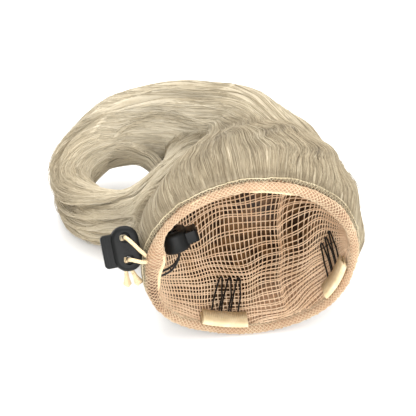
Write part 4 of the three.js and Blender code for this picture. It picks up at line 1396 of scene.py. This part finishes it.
def makeComb(label, node):
    place = combPlaces[label]
    lift = tape["under"] + tape["wall"] + tape["slot"] / 2
    knots = []
    for tooth in range(comb["teeth"]):
        middle = (tooth - (comb["teeth"] - 1) / 2) * comb["pitch"]
        rising = [(middle - across, along) for along, across in comb["outline"]]
        falling = [(middle + across, along) for along, across in reversed(comb["outline"])]
        knots += rising + [(middle, comb["tip"])] + falling
        if tooth < comb["teeth"] - 1:
            knots.append((middle + comb["pitch"] / 2, comb["turn"] - comb["foot"]))
    knots = tableAt(knots, np.linspace(0, 1, 6 * len(knots)))
    low = np.minimum(knots[:, 1], comb["shoulder"])
    lean = place["slant"] * low + place["slantAbove"] * (knots[:, 1] - low)
    points = wallPoints(place["angle"], knots[:, 0] + lean, comb["foot"] + knots[:, 1], np.full(len(knots), lift))
    return finishPiece(tubePiece(f"comb{label}", points, comb["wire"] * mm, "wire", resolution=2), "wire", node)


# depth and lift of the tape's outline, with round folds at its front and in its slot
def tapeOutline():
    under, top, back, wall = (tape[key] for key in ("under", "top", "back", "wall"))
    middle = (under + top) / 2

    def fold(front, radius, halfHeight, first, steps, way):
        turns = [first + way * step * math.pi / steps for step in range(steps + 1)]
        return [(front + radius + radius * math.cos(turn), middle + halfHeight * math.sin(turn)) for turn in turns]
    return [(back, under), *fold(tape["front"], tape["fold"], (top - under) / 2, -math.pi / 2, 8, -1),
            (back, top), (back, top - wall),
            *fold(tape["slotFront"], tape["slotFold"], tape["slot"] / 2, math.pi / 2, 4, 1), (back, under + wall)]


def makeTape(label, node):
    outline = tapeOutline()
    shape = bmesh.new()
    bmesh.ops.create_grid(shape, x_segments=tape["across"], y_segments=len(outline), size=1)
    acrossLayer, alongLayer = layersOf(shape, "across", "along")
    for vertex in shape.verts:
        number = round((vertex.co.y + 1) / 2 * len(outline))
        depth, lift = outline[number % len(outline)]
        across = vertex.co.x * tape["halfLength"]
        fray = tape["fray"] * math.sin(across * 3.1 + number % len(outline))
        vertex[acrossLayer] = across * tape["acrossThreads"]
        vertex[alongLayer] = number * tape["alongThreads"]
        vertex.co = Vector(wallPoints(combPlaces[label]["angle"], across, depth + fray, lift))
    bmesh.ops.remove_doubles(shape, verts=shape.verts, dist=1e-6)
    bmesh.ops.holes_fill(shape, edges=shape.edges, sides=0)
    bmesh.ops.recalc_face_normals(shape, faces=shape.faces)
    piece = finishPiece(pieceFromBmesh(f"comb{label}Tape", shape, "tape"), "tape", node)


for label in combPlaces:
    makeComb(label, f"comb_{label.lower()}")
for label in combPlaces:
    makeTape(label, f"comb_{label.lower()}_tape")
print("combs and tapes made")


# floor and soft light, in metres
stage = {
    "floorHalf": 3, "aim": (-0.01, 0.01, 0.05),
    "lights": [
        {"name": "front", "at": (-0.05, -1.1, 0.7), "size": 0.7, "power": 12.5},
        {"name": "top", "at": (0.05, 0.45, 1.2), "size": 1.0, "power": 15},
        {"name": "side", "at": (0.8, -0.3, 0.9), "size": 0.9, "power": 4},
    ],
}


def addFloor():
    shape = bmesh.new()
    bmesh.ops.create_grid(shape, x_segments=1, y_segments=1, size=stage["floorHalf"])
    floor = pieceFromBmesh("floor", shape, "floor")
    scene.collection.objects.link(floor)


def addLights():
    for light in stage["lights"]:
        data = bpy.data.lights.new(light["name"], "AREA")
        data.size = light["size"]
        data.energy = light["power"]
        lamp = bpy.data.objects.new(light["name"], data)
        scene.collection.objects.link(lamp)
        lamp.location = light["at"]
        lamp.rotation_euler = (Vector(stage["aim"]) - Vector(light["at"])).to_track_quat("-Z", "Y").to_euler()
    scene.world = bpy.data.worlds.new("studio")
    scene.world.use_nodes = True
    background = scene.world.node_tree.nodes["Background"].inputs
    background["Color"].default_value = (1, 1, 1, 1)
    background["Strength"].default_value = 1.0


addFloor()
addLights()
scene.view_settings.view_transform = "Standard"
print("stage set")
